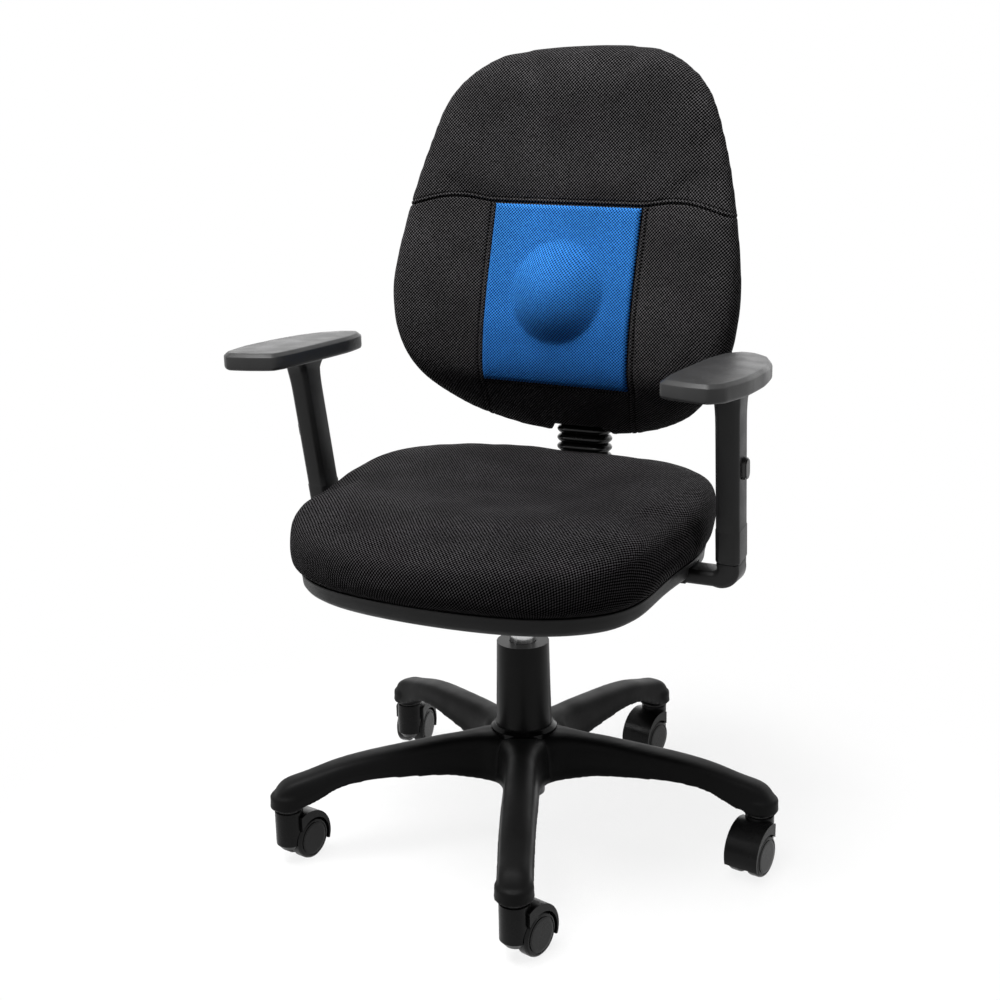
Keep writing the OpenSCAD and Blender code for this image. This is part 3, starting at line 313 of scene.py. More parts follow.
class Look:
    """A material with its node tree and short ways to add nodes to it."""

    def __init__(self, name):
        self.mat = bpy.data.materials.new(name)
        self.mat.use_nodes = True
        self.tree = self.mat.node_tree
        self.shader = self.tree.nodes["Principled BSDF"]
        self._coord = None

    def set(self, **values):
        for key, value in values.items():
            self.shader.inputs[key.replace("_", " ")].default_value = value
        return self

    def add(self, kind, inputs=(), **settings):
        node = self.tree.nodes.new(kind)
        for key, value in settings.items():
            setattr(node, key, value)
        for key, value in dict(inputs).items():
            if isinstance(value, bpy.types.NodeSocket):
                self.tree.links.new(value, node.inputs[key])
            else:
                node.inputs[key].default_value = value
        return node

    def link(self, source, socket):
        self.tree.links.new(source, self.shader.inputs[socket])

    def place(self):
        """Position in metres in the frame of the object."""
        if self._coord is None:
            self._coord = self.add("ShaderNodeTexCoord").outputs["Object"]
        return self._coord

    def noise(self, scale, detail=2.0, vector=None):
        node = self.add(
            "ShaderNodeTexNoise", {"Vector": vector or self.place(), "Scale": scale, "Detail": detail}
        )
        return node.outputs["Fac"]

    def math(self, op, a, b=0.0):
        return self.add("ShaderNodeMath", {0: a, 1: b}, operation=op).outputs[0]

    def span(self, value, low, high, to_low, to_high, smooth=False):
        node = self.add(
            "ShaderNodeMapRange",
            {"Value": value, "From Min": low, "From Max": high, "To Min": to_low, "To Max": to_high},
        )
        if smooth:
            node.interpolation_type = "SMOOTHSTEP"
        return node.outputs["Result"]

    def mix(self, fac, a, b):
        node = self.add("ShaderNodeMix", data_type="RGBA")
        for key, value in (("Factor", fac), ("A", a), ("B", b)):
            socket = [s for s in node.inputs if s.name == key and s.enabled][0]
            if isinstance(value, bpy.types.NodeSocket):
                self.tree.links.new(value, socket)
            else:
                socket.default_value = value
        return [s for s in node.outputs if s.enabled][0]

    def bump(self, height, distance_mm):
        node = self.add(
            "ShaderNodeBump", {"Height": height, "Distance": distance_mm * MM, "Strength": 1.0}
        )
        self.link(node.outputs["Normal"], "Normal")


def grey(v, tint=(1.0, 1.0, 1.0)):
    return (v * tint[0], v * tint[1], v * tint[2], 1.0)


def plastic(name, low, high, rough, grain=0.06, grain_scale=2600.0, gloss=0.5):
    """Moulded plastic with a spark-eroded grain, faint flow marks and rubbed places."""
    look = Look(name)
    look.set(Specular_IOR_Level=gloss)
    broad = look.noise(11.0, 3.0)
    fine = look.noise(grain_scale, 1.0)
    look.link(look.mix(look.span(broad, 0.35, 0.65, 0, 1), grey(low), grey(high, (1.0, 1.0, 1.03))),
              "Base Color")
    rubbed = look.noise(38.0, 4.0)
    look.link(look.span(rubbed, 0.3, 0.7, rough - 0.05, rough + 0.06), "Roughness")
    look.bump(fine, grain)
    return look.mat


def metal(name, colour, rough, brushed=0.0):
    look = Look(name)
    look.set(Metallic=1.0)
    marks = look.noise(60.0, 4.0)
    if brushed:
        stretch = look.add("ShaderNodeMapping", {"Vector": look.place(), "Scale": (400.0, 400.0, brushed)})
        marks = look.noise(1.0, 2.0, stretch.outputs["Vector"])
    look.link(look.mix(marks, grey(colour * 0.92), grey(colour)), "Base Color")
    look.link(look.span(marks, 0.3, 0.7, rough * 0.8, rough * 1.25), "Roughness")
    return look.mat


def knit(name, thread, hole, shift, net=(-0.5, 0.15), half_u=2.1, half_v=2.0, painted_shade_heights=()):
    """Spacer mesh: rows of small holes, staggered, between slanting ribs of thread.

    Between the two given heights the thread colour gets darker towards the lower one: painted shade.
    """
    look = Look(name)
    look.set(Roughness=0.6, Sheen_Weight=0.01, Sheen_Roughness=0.4)
    flat = look.add("ShaderNodeAttribute", attribute_name="knit").outputs["Vector"]
    warp = look.add("ShaderNodeTexNoise", {"Vector": flat, "Scale": 45.0, "Detail": 1.0})
    moved = look.add(
        "ShaderNodeVectorMath",
        {0: warp.outputs["Color"], 1: (-0.5, -0.5, -0.5)}, operation="ADD",
    ).outputs[0]
    moved = look.add(
        "ShaderNodeVectorMath", {0: moved, "Scale": 0.0012}, operation="SCALE"
    ).outputs[0]
    flat = look.add("ShaderNodeVectorMath", {0: flat, 1: moved}, operation="ADD").outputs[0]
    parts = look.add("ShaderNodeSeparateXYZ", {"Vector": flat})
    u = look.math("MULTIPLY", parts.outputs["X"], math.pi / (half_u * MM))
    v = look.math("MULTIPLY", parts.outputs["Y"], math.pi / (half_v * MM))
    spots = look.math("MULTIPLY", look.math("COSINE", u), look.math("COSINE", v))
    holes = look.span(spots, net[0], net[1], 0, 1, smooth=True)
    ribs = look.math("COSINE", look.math("ADD", u, v))
    fibre = look.noise(1500.0, 2.0, flat)
    height = look.math("SUBTRACT", look.math("MULTIPLY", ribs, 0.25), holes)
    height = look.math("ADD", height, look.math("MULTIPLY", fibre, 0.35))
    cloud = look.noise(16.0, 3.0)
    uneven = look.noise(230.0, 3.0, flat)
    dim = [c * (1 - shift) for c in thread[:3]] + [1.0]
    bright = [min(1.0, c * (1 + shift)) for c in thread[:3]] + [1.0]
    shade = look.mix(look.span(cloud, 0.3, 0.7, 0, 1), dim, thread)
    lit = look.mix(look.span(ribs, -1, 1, 0.0, 1.0), shade, bright)
    lit = look.mix(look.span(uneven, 0.42, 0.68, 0.0, 0.75), lit, dim)
    # Painted shade: the thread colour darkens towards the lower of the two given heights.
    if painted_shade_heights:
        up = look.add("ShaderNodeSeparateXYZ", {"Vector": look.place()}).outputs["Z"]
        shaded_thread = [c * PAINTED_SHADE_TONE for c in thread[:3]] + [1.0]
        share = look.span(up, painted_shade_heights[0] * MM, painted_shade_heights[1] * MM, PAINTED_SHADE_SHARE, 0.0, smooth=True)
        lit = look.mix(share, lit, shaded_thread)
    look.link(look.mix(holes, lit, hole), "Base Color")
    look.link(look.span(holes, 0, 1, 0.03, 0.0), "Specular IOR Level")
    look.bump(height, 0.6)
    return look.mat


ZINC_TONE = 0.55
STEM_COLLAR_HALF = 8
# Tone and share of the painted shade that knit lays on the lower part of a mesh.
PAINTED_SHADE_TONE, PAINTED_SHADE_SHARE = 0.62, 0.75

base_plastic = plastic("base_plastic_look", 0.005, 0.007, 0.5, grain=0.05, gloss=0.07)
dark_plastic = plastic("dark_plastic_look", 0.012, 0.017, 0.41, gloss=0.22)
shell_plastic = plastic("shell_plastic_look", 0.010, 0.014, 0.46, grain=0.08, gloss=0.15)
pad_plastic = plastic("pad_plastic_look", 0.018, 0.023, 0.45, grain=0.09, grain_scale=1500.0, gloss=0.34)
lever_plastic = plastic("lever_plastic_look", 0.010, 0.014, 0.35)
castor_plastic = plastic("castor_plastic_look", 0.004, 0.006, 0.28, grain=0.02, gloss=0.12)
wheel_plastic = plastic("wheel_plastic_look", 0.004, 0.006, 0.26, grain=0.02, gloss=0.15)
rubber = plastic("rubber_look", 0.003, 0.005, 0.24, grain=0.02, gloss=0.25)
zinc_steel = metal("zinc_steel_look", ZINC_TONE, 0.34)
black_steel = plastic("black_steel_look", 0.012, 0.016, 0.38, grain=0.05, grain_scale=900.0)
chrome = metal("chrome_look", 0.58, 0.20, brushed=30.0)
black_mesh = knit("black_mesh_look", (0.125, 0.120, 0.124, 1), grey(0.001), 0.55)
# The seat's black mesh is painted darker than the back's: painted shade that evens out the stronger light
# from above on the seat. It also carries painted shade towards its lower part.
seat_knit_painted_shade = knit("seat_knit_painted_shade_look", (0.080, 0.076, 0.080, 1), grey(0.0008), 0.6, half_v=2.3,
                 painted_shade_heights=(388, 432))
# Blue panel: painted shade darkens it towards its lower edge.
blue_mesh = knit(
    "blue_mesh_look", (0.056, 0.325, 1.0, 1), (0.001, 0.016, 0.09, 1), 0.32, net=(-0.2, 0.38),
    half_u=2.0, half_v=1.9, painted_shade_heights=(555, 690),
)


def foam_look():
    look = Look("foam_look")
    look.set(Roughness=0.9)
    cells = look.add("ShaderNodeTexVoronoi", {"Vector": look.place(), "Scale": 700.0})
    look.link(look.mix(cells.outputs["Distance"], grey(0.02), grey(0.06)), "Base Color")
    look.bump(cells.outputs["Distance"], 0.3)
    return look.mat


def plywood_look():
    look = Look("plywood_look")
    look.set(Roughness=0.6)
    stretch = look.add("ShaderNodeMapping", {"Vector": look.place(), "Scale": (6.0, 90.0, 60.0)})
    rings = look.noise(2.0, 6.0, stretch.outputs["Vector"])
    look.link(look.mix(rings, (0.36, 0.21, 0.10, 1), (0.62, 0.43, 0.24, 1)), "Base Color")
    look.bump(rings, 0.15)
    return look.mat


foam, plywood = foam_look(), plywood_look()


def column_look():
    """Satin cover whose collar at the foot is glossy."""
    look = Look("column_look")
    look.set(Specular_IOR_Level=0.1)
    parts = look.add("ShaderNodeSeparateXYZ", {"Vector": look.place()})
    foot = look.span(parts.outputs["Z"], (HUB_TOP + COLLAR_H - 1) * MM, (HUB_TOP + COLLAR_H) * MM, 0, 1)
    broad = look.noise(11.0, 3.0)
    satin = look.mix(look.span(broad, 0.35, 0.65, 0, 1), grey(0.005), grey(0.008))
    look.link(look.mix(foot, grey(0.005), satin), "Base Color")
    look.link(look.span(foot, 0, 1, 0.14, 0.36), "Roughness")
    look.bump(look.noise(2600.0, 1.0), 0.03)
    return look.mat


def stem_look():
    """Zinc-coated stem with a black collar under the socket."""
    look = Look("stem_look")
    z = look.add("ShaderNodeSeparateXYZ", {"Vector": look.place()}).outputs["Z"]
    far = look.math("ABSOLUTE", look.math("SUBTRACT", z, SOCKET_Z * MM))
    bare = look.math("GREATER_THAN", far, STEM_COLLAR_HALF * MM)
    look.link(look.mix(bare, grey(0.006), grey(ZINC_TONE)), "Base Color")
    look.link(bare, "Metallic")
    look.link(look.span(look.noise(60.0, 4.0), 0.3, 0.7, 0.27, 0.42), "Roughness")
    return look.mat


LOOKS = {
    "base_plastic": base_plastic, "dark_plastic": dark_plastic, "zinc_steel": zinc_steel,
    "black_steel": black_steel, "chrome": chrome, "castor_plastic": castor_plastic,
    "wheel_plastic": wheel_plastic, "lever_plastic": lever_plastic,
    "shell_plastic": shell_plastic, "pad_plastic": pad_plastic, "plywood": plywood,
    "black_mesh": black_mesh, "blue_mesh": blue_mesh, "foam": foam, "rubber": rubber,
}

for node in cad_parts.values():
    for spot in node.material_slots:
        found = [look for key, look in LOOKS.items() if spot.material and spot.material.name.startswith(key)]
        spot.material = found[0] if found else dark_plastic
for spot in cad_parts["column_cover"].material_slots:
    spot.material = column_look()
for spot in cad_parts["castor_stems"].material_slots:
    spot.material = stem_look()


def dress(obj, look, body, slot, *nodes):
    """Gives a piece its material and its body, and hides the CAD nodes it stands for. The slot argument is
    not used.
    """
    obj.data.materials.clear()
    obj.data.materials.append(look)
    if body:
        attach(obj, body)
    if nodes:
        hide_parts(*nodes)
    return obj


# Upholstery


def lay_cloth(obj, rings, across, down, centre):
    """Writes on each vertex its place in the cloth laid flat: the way over the rings from the
    middle of the last ring, in the direction in which the nearest ring point lies from it."""
    rings = [np.array(r) for r in rings]
    n, last = len(rings[0]), len(rings) - 1
    plan = [np.stack([r[:, across], r[:, down]], 1) - centre for r in rings]
    way = np.linalg.norm(plan[-1], axis=1)
    flat = [None] * (last + 1)
    for k in range(last, -1, -1):
        if k < last:
            way = way + np.linalg.norm(rings[k] - rings[k + 1], axis=1)
        size = np.maximum(np.linalg.norm(plan[k], axis=1), 1e-6)
        flat[k] = plan[k] / size[:, None] * way[:, None] + centre
    middle = rings[-1].mean(axis=0)
    flat = np.concatenate(flat + [[[middle[across], middle[down]]]])
    corners = [Vector(p * MM) for p in np.concatenate(rings + [[middle]])]
    thirds = [(last * n + j, last * n + (j + 1) % n, len(corners) - 1) for j in range(n)]
    for k in range(last):
        for j in range(n):
            a, b = k * n + j, k * n + (j + 1) % n
            thirds += [(a, b, b + n), (a, b + n, a + n)]
    tree = BVHTree.FromPolygons(corners, thirds)
    layer = obj.data.attributes.new("knit", "FLOAT_VECTOR", "POINT")
    values = np.zeros((len(obj.data.vertices), 3), np.float32)
    for i, vert in enumerate(obj.data.vertices):
        hit, _, index, _ = tree.find_nearest(vert.co)
        a, b, c = thirds[index]
        u, v, w = corners[b] - corners[a], corners[c] - corners[a], hit - corners[a]
        uu, uv, vv, wu, wv = u.dot(u), u.dot(v), v.dot(v), w.dot(u), w.dot(v)
        area = max(uu * vv - uv * uv, 1e-18)
        s, t = (vv * wu - uv * wv) / area, (uu * wv - uv * wu) / area
        values[i, :2] = (flat[a] * (1 - s - t) + flat[b] * s + flat[c] * t) * MM
    layer.data.foreach_set("vector", values.ravel())


def even_out(obj, move, rounds):
    """Averages the move of each vertex with those of its neighbours."""
    ends = np.empty(2 * len(obj.data.edges), np.int32)
    obj.data.edges.foreach_get("vertices", ends)
    a, b = ends[::2], ends[1::2]
    count = np.bincount(ends, minlength=len(move))[:, None]
    for _ in range(rounds):
        total = np.zeros_like(move)
        np.add.at(total, a, move[b])
        np.add.at(total, b, move[a])
        move = 0.5 * move + 0.5 * total / count
    return move


def plump(obj, hold, cap_mm, pressure=4.0, frames=20):
    """Swells a cushion with the cloth solver. hold(co) gives how firmly each point is held, 0 to 1."""
    before = coords(obj)
    group = obj.vertex_groups.new(name="held")
    for i, w in enumerate(hold(before)):
        if w > 0.01:
            group.add([i], float(min(w, 1)), "REPLACE")
    mod = obj.modifiers.new("cloth", "CLOTH")
    mod.settings.quality = 5
    mod.settings.mass = 0.3
    mod.settings.tension_stiffness = mod.settings.compression_stiffness = 25
    mod.settings.shear_stiffness = 10
    mod.settings.bending_stiffness = 2
    mod.settings.use_pressure = True
    mod.settings.uniform_pressure_force = pressure
    mod.settings.vertex_group_mass = "held"
    mod.settings.effector_weights.gravity = 0
    mod.collision_settings.use_collision = False
    scene = bpy.context.scene
    mod.point_cache.frame_start, mod.point_cache.frame_end = 1, frames
    for f in range(1, frames + 1):
        scene.frame_set(f)
    deps = bpy.context.evaluated_depsgraph_get()
    seen = obj.evaluated_get(deps)
    after = np.empty(len(seen.data.vertices) * 3)
    seen.data.vertices.foreach_get("co", after)
    move = even_out(obj, after.reshape(-1, 3) / MM - before, 6)
    obj.modifiers.clear()
    obj.vertex_groups.clear()
    scene.frame_set(1)
    size = np.maximum(np.linalg.norm(move, axis=1), 1e-9)
    soft_cap = cap_mm * np.tanh(size / cap_mm)
    set_coords(obj, before + move / size[:, None] * soft_cap[:, None])


def refine(obj, near):
    """Splits the edges near a seam. near(co) is true for the points there."""
    bm = bmesh.new()
    bm.from_mesh(obj.data)
    chosen = near(np.array([v.co for v in bm.verts]) / MM)
    bm.verts.ensure_lookup_table()
    edges = [e for e in bm.edges if chosen[e.verts[0].index] and chosen[e.verts[1].index]]
    bmesh.ops.subdivide_edges(bm, edges=edges, cuts=1, use_grid_fill=True, smooth=0.0)
    bm.to_mesh(obj.data)
    bm.free()


# Seat


def seat_ring(inset, z, steps):
    s, t = 1 - 2 * inset / SEAT_W, 1 - 2 * inset / SEAT_D
    p = smooth_ring(both_sides(SEAT_HALF), steps)
    return np.stack(
        [p[:, 0] * s * SEAT_W / 2, SEAT_MID + p[:, 1] * t * SEAT_D / 2, np.full(len(p), float(z))], 1
    )


def seat_sink(x, y):
    front = ease((-y - SEAT_FRONT + 150) / 150)
    rear = ease((y - SEAT_MID + 90) / (0.55 * SEAT_D))
    side = np.minimum(1, np.abs(x) / (SEAT_W / 2))
    middle = ease(1 - np.hypot(x / (0.42 * SEAT_W), (y - SEAT_MID - 30) / (0.4 * SEAT_D)))
    return SEAT_FALL * front - SEAT_RISE * rear + 3 * side * side + SEAT_DISH * middle


def seat_low_ring(inset, z, share, steps):
    p = seat_ring(inset, z, steps)
    p[:, 2] -= share * COVER_FALL * ease((-p[:, 1] - 36) / 150)
    return p


def seat_top_ring(inset, z, steps):
    p = seat_ring(inset, z, steps)
    p[:, 2] -= seat_sink(p[:, 0], p[:, 1])
    return p


def make_seat():
    steps, h = 10, SEAT_TOP - BOARD_TOP
    lip = seat_low_ring(RIM + 4.5, COVER_RIM + 1.2, 1, steps)
    low = [seat_ring(inset, BOARD_TOP + 0.5, steps) for inset in (150, 80, BOARD_INSET - 4)]
    low += [seat_low_ring(RIM + 7.5, BOARD_TOP + 1.5, 1, steps), lip]
    high = [
        lip,
        seat_low_ring(6 + SEAT_EDGE, COVER_RIM + 7, 1, steps),
        seat_low_ring(1.5 + SEAT_EDGE, BOARD_TOP + 0.42 * h, 1.25, steps),
        seat_low_ring(SEAT_EDGE, BOARD_TOP + 0.6 * h, 1.45, steps),
    ]
    for inset, share, less in (
        (1.5 + SEAT_EDGE, 0.74, 0.5), (6 + SEAT_EDGE, 0.86, 1), (15 + SEAT_EDGE, 0.945, 2),
        (40, 0.985, SWELL_ROOM),
    ):
        high.append(seat_top_ring(inset, BOARD_TOP + share * h - less, steps))
    for inset in (60, 90, 120, 150, 180, 196):
        high.append(seat_top_ring(inset, SEAT_TOP - SWELL_ROOM, steps))
    rings = smooth_rows(low, 3)[:-1] + smooth_rows(high, 4)
    seat = loft("seat_upholstery", rings)
    remesh(seat, SEAT_VOXEL, 3)

    def hold(co):
        return np.clip((COVER_RIM + 3 - co[:, 2]) / 6, 0, 1)

    plump(seat, hold, SEAT_SWELL)
    subdivide(seat)
    lay_cloth(seat, rings, 0, 1, np.array([0.0, SEAT_MID]))
    smooth_shade(seat, 180)
    dress(seat, seat_knit_painted_shade, "seat", "black_mesh", "seat_cushion")


make_seat()


def make_seat_shell():
    foot, steps = 38, 8
    outer = [
        [foot + 60, COVER_LOW, 0], [foot + 24, COVER_LOW, 0], [foot + 4, COVER_LOW, 1],
        [foot - 4, COVER_LOW + 0.3, 1], [foot - 12, COVER_LOW + 1.6, 1], [foot - 17, COVER_LOW + 3.4, 1],
        [foot - 20.5, COVER_LOW + 6, 1], [foot - 23, COVER_LOW + 10, 1],
        [RIM + 1.2, COVER_RIM - 6, 1], [RIM, COVER_RIM - 1, 1], [RIM + 0.4, COVER_RIM, 1],
    ]
    inner = [
        [RIM + COVER_T - 0.3, COVER_RIM, 1], [RIM + COVER_T, COVER_RIM - 0.4, 1],
        [foot - 23 + COVER_T, COVER_LOW + 11, 1], [foot - 15 + COVER_T, COVER_LOW + 6, 1],
        [foot + COVER_T, COVER_LOW + COVER_T, 1], [foot + 20, BOARD_Z, 0], [foot + 60, BOARD_Z, 0],
    ]
    shell = loft("seat_shell", [seat_low_ring(*r, steps) for r in outer + inner])
    tools = [
        box("plate_space", (-PLATE_W / 2 - 3, -PLATE_FRONT - 3, COVER_LOW - 20),
            (PLATE_W / 2 + 3, PLATE_REAR + 3, COVER_LOW + 30)),
    ]
    front, rear = -POST_Y - BRACKET_D / 2 - 0.7, -POST_Y + BRACKET_D / 2 + 1
    for x0, x1 in ((BRACKET_IN - 2, SEAT_W / 2 + 10), (-SEAT_W / 2 - 10, 2 - BRACKET_IN)):
        tools.append(
            box("bracket_space", (x0, front, COVER_LOW - 10), (x1, rear, COVER_LOW + ELBOW_BAR_H + 1.5))
        )
    cut(shell, tools)
    smooth_shade(shell, 35)
    return dress(shell, shell_plastic, "seat", "shell_plastic", "seat_cover")


make_seat_shell()


# Back


def bar_line(z):
    return BAR_Y + math.tan(math.radians(BACK_RAKE)) * (z - BAR_MARK)


def at_mark(values, u):
    """Value at shares u of the height of the back, read off a list by the marks."""
    v = np.clip(u, 0, 1)
    marks, p = np.array(BACK_MARKS), np.array(values, float)
    last = len(p) - 1
    i = np.clip(np.searchsorted(marks, v, side="right") - 1, 0, last - 1)
    t = (v - marks[i]) / (marks[i + 1] - marks[i])
    return curve_point(p[np.maximum(0, i - 1)], p[i], p[i + 1], p[np.minimum(last, i + 2)], t)


def wrap(x, flat_half, rate):
    d = np.maximum(0, np.abs(x) - flat_half)
    return rate * d * d


def back_front(x, z):
    return bar_line(z) - at_mark(BACK_FRONTS, (z - BACK_LOW) / BACK_TALL) - wrap(x, 60, 0.001)


def back_rear(x, z):
    return bar_line(z) + at_mark(BACK_REARS, (z - BACK_LOW) / BACK_TALL) - wrap(x, 45, 0.0023)


def board_rear(x, z):
    lift = (BAR_T / 2 + SLIP + BLOCK_WALL) / math.cos(math.radians(BACK_RAKE))
    return bar_line(z) - lift - wrap(x, 45, 0.0019)


def back_pairs(inset, steps):
    s, t = 1 - 2 * inset / BACK_W, 1 - 2 * inset / BACK_TALL
    p = smooth_ring(both_sides(BACK_HALF), steps)
    return p[:, 0] * s * BACK_W / 2, BACK_MID + p[:, 1] * t * BACK_TALL / 2


def back_ring(inset, share, steps, ahead=0.0):
    x, z = back_pairs(inset, steps)
    y = back_rear(x, z) * (1 - share) + back_front(x, z) * share
    return np.stack([x, y - ahead, z], 1)


def board_ring(inset, ahead, steps):
    x, z = back_pairs(inset, steps)
    return np.stack([x, board_rear(x, z) - ahead, z], 1)


def rear_ring(inset, ahead, steps):
    x, z = back_pairs(inset, steps)
    return np.stack([x, back_rear(x, z) - ahead, z], 1)


def neck_box(name):
    """Space for the neck of the back at its lower edge, where the bellows enters."""
    half, y = BELLOWS_W / 2 + 1.5, bar_line(BACK_LOW) - BELLOWS_T / 2 - 1.5
    return box(name, (-half, y, BACK_LOW - 10), (half, y + BELLOWS_T + 20, BACK_LOW + 42))


def bump_height(x, z):
    far = np.hypot(x, z - BALL_Z) / (BALL_D / 2)
    return BALL_H * np.clip(1 - far * far, 0, 1) ** BALL_ROUND


SEAM_Z = PANEL_LOW + PANEL_H + 2
STRIP_IN, STRIP_OUT = PANEL_W / 2 + 0.5, PANEL_W / 2 + 7.5
PANEL_MID = PANEL_LOW + PANEL_H / 2
TILT = math.radians(1.6)
STRIP_LEAN = 0.34
WELT_Z = PANEL_LOW - 5.5


def sewn(x, z):
    """Position in the frame of the sewn panel, which sits a little askew, like the cross seam."""
    dx, dz = x + STRIP_LEAN * np.maximum(0, PANEL_LOW - 6 - z), z - PANEL_MID
    over = dx * math.sin(TILT) + dz * math.cos(TILT)
    return dx * math.cos(TILT) - dz * math.sin(TILT), PANEL_MID + over


def seam_height(x):
    """Height of the cross seam: it swells over the sides and drops round them."""
    far = np.abs(x)
    swell = 5 * ease((far - 95) / 45) - 16 * ease((far - 150) / 90)
    return SEAM_Z - math.tan(TILT) * x + swell


def seam_places(co):
    """Way from the middle and height in the sewn panel, height over the cross seam, and the front."""
    x, z = sewn(co[:, 0], co[:, 2])
    over = co[:, 2] - seam_height(co[:, 0])
    front = co[:, 1] < back_front(co[:, 0], co[:, 2]) + 30
    return np.abs(x), z, over, front


def groove(d, width, depth):
    return -depth * np.exp(-((d / width) ** 2))


def held_back(co):
    """How firmly each point of the back is held while it swells: seams, panel, rear and neck."""
    x, z, over, _ = seam_places(co)
    half_way = 0.35 * back_front(co[:, 0], co[:, 2]) + 0.65 * back_rear(co[:, 0], co[:, 2])
    seam = np.exp(-((over / 7) ** 2))
    strip = np.exp(-(((x - 101) / 7) ** 2)) * (z < SEAM_Z)
    panel = (x < 100) & (z < SEAM_Z) & (z > PANEL_LOW - 4)
    rear = ~(co[:, 1] < half_way)
    neck = (np.abs(co[:, 0]) < 50) & (co[:, 2] < BACK_LOW + 50)
    return np.maximum.reduce([0.9 * seam, 0.9 * strip, 1.0 * panel, 1.0 * rear, 1.0 * neck])


def near_seams(co):
    x, z, over, front = seam_places(co)
    side = (np.abs(x - 100) < 8) & (z < SEAM_Z + 5) & front
    low = (np.abs(z - PANEL_LOW + 3) < 6) & (x < 105) & front
    return (np.abs(over - 2) < 8) | side | low


def close_to_seams(co):
    x, z, over, front = seam_places(co)
    side = np.minimum(np.abs(x - STRIP_IN), np.abs(x - STRIP_OUT)) < 3.5
    cross = (over > -4) & (over < 8.5)
    low = (np.abs(z - WELT_Z) < 3.5) & (x < STRIP_IN)
    return (cross | (side & (over < 0)) | low) & front


def seam_lift(co):
    """How far each point of the back is pressed in or raised by the seams, in millimetres."""
    x, z, over, front = seam_places(co)
    ahead = ~(co[:, 1] > back_rear(co[:, 0], co[:, 2]) - 12)
    rim = ease((np.abs(co[:, 0]) - BACK_W / 2 + 24) / 14)
    lift = groove(over, 1.3, 2.6) * ahead
    lift += (groove(over - 5, 1.0, 1.2) - groove(over - 2.6, 1.6, 0.7)) * ahead
    lift *= 1 - 0.75 * rim
    below = ((over < -2) & front) * (1 - 0.45 * ease((PANEL_LOW - z) / 20))
    lift += (groove(x - STRIP_IN, 1.1, 2.6) + groove(x - STRIP_OUT, 1.1, 2.8)) * below
    lift -= groove(x - (STRIP_IN + STRIP_OUT) / 2, 2.6, 0.6) * below
    welt = groove(z - WELT_Z, 1.1, 2.2) - groove(z - PANEL_LOW + 2.6, 1.6, 0.9)
    return lift + welt * (x < STRIP_IN) * front


def behind_panel(co):
    x, z, _, front = seam_places(co)
    return (x < PANEL_W / 2 - 0.5) & (z > PANEL_LOW + 1) & (z < PANEL_LOW + PANEL_H - 1) & front


def press_down(co, inside):
    """Moves the points behind the blue panel back, and more so those under its ball."""
    floor = back_front(co[:, 0], co[:, 2]) + 3.0
    pocket = np.hypot(co[:, 0], co[:, 2] - BALL_Z) < BALL_D / 2 - 4
    floor = np.where(pocket, floor + 28, floor)
    co[:, 1] = np.where(inside, np.maximum(co[:, 1], floor), co[:, 1])


def make_back():
    steps, less = 10, SWELL_ROOM
    inner = [board_ring(i, BACK_BOARD_T + 0.5, steps) for i in (170, 100, 60, BOARD_EDGE - 1)]
    inner += [board_ring(BOARD_EDGE - 1, 0, steps), rear_ring(24, 17, steps)]
    inner.append(rear_ring(15, 17.5, steps))
    outer = [inner[-1]]
    for inset, share in ((5, 0.31), (0.5, 0.43), (0, 0.53), (1.5, 0.65), (6, 0.78)):
        outer.append(back_ring(inset + BACK_EDGE, share, steps))
    outer.append(back_ring(15 + BACK_EDGE, 0.9, steps, -less / 2))
    outer.append(back_ring(30, 0.97, steps, -less))
    outer += [back_ring(i, 1, steps, -less) for i in (48, 66, 84, 104, 128, 160, 195, 216)]
    rings = smooth_rows(inner, 2)[:-1] + smooth_rows(outer, 4)
    back = loft("back_upholstery", rings)
    cut(back, [neck_box("neck")])
    remesh(back, BACK_VOXEL, 3)
    plump(back, held_back, BACK_SWELL)
    subdivide(back)
    refine(back, near_seams)
    refine(back, close_to_seams)
    co, no = coords(back), normals(back)
    inside = behind_panel(co)
    co += no * seam_lift(co)[:, None]
    press_down(co, inside)
    set_coords(back, co)
    lay_cloth(back, rings, 0, 2, np.array([0.0, BACK_MID]))
    smooth_shade(back, 180)
    dress(back, black_mesh, "back", "black_mesh", "back_cushion")


make_back()


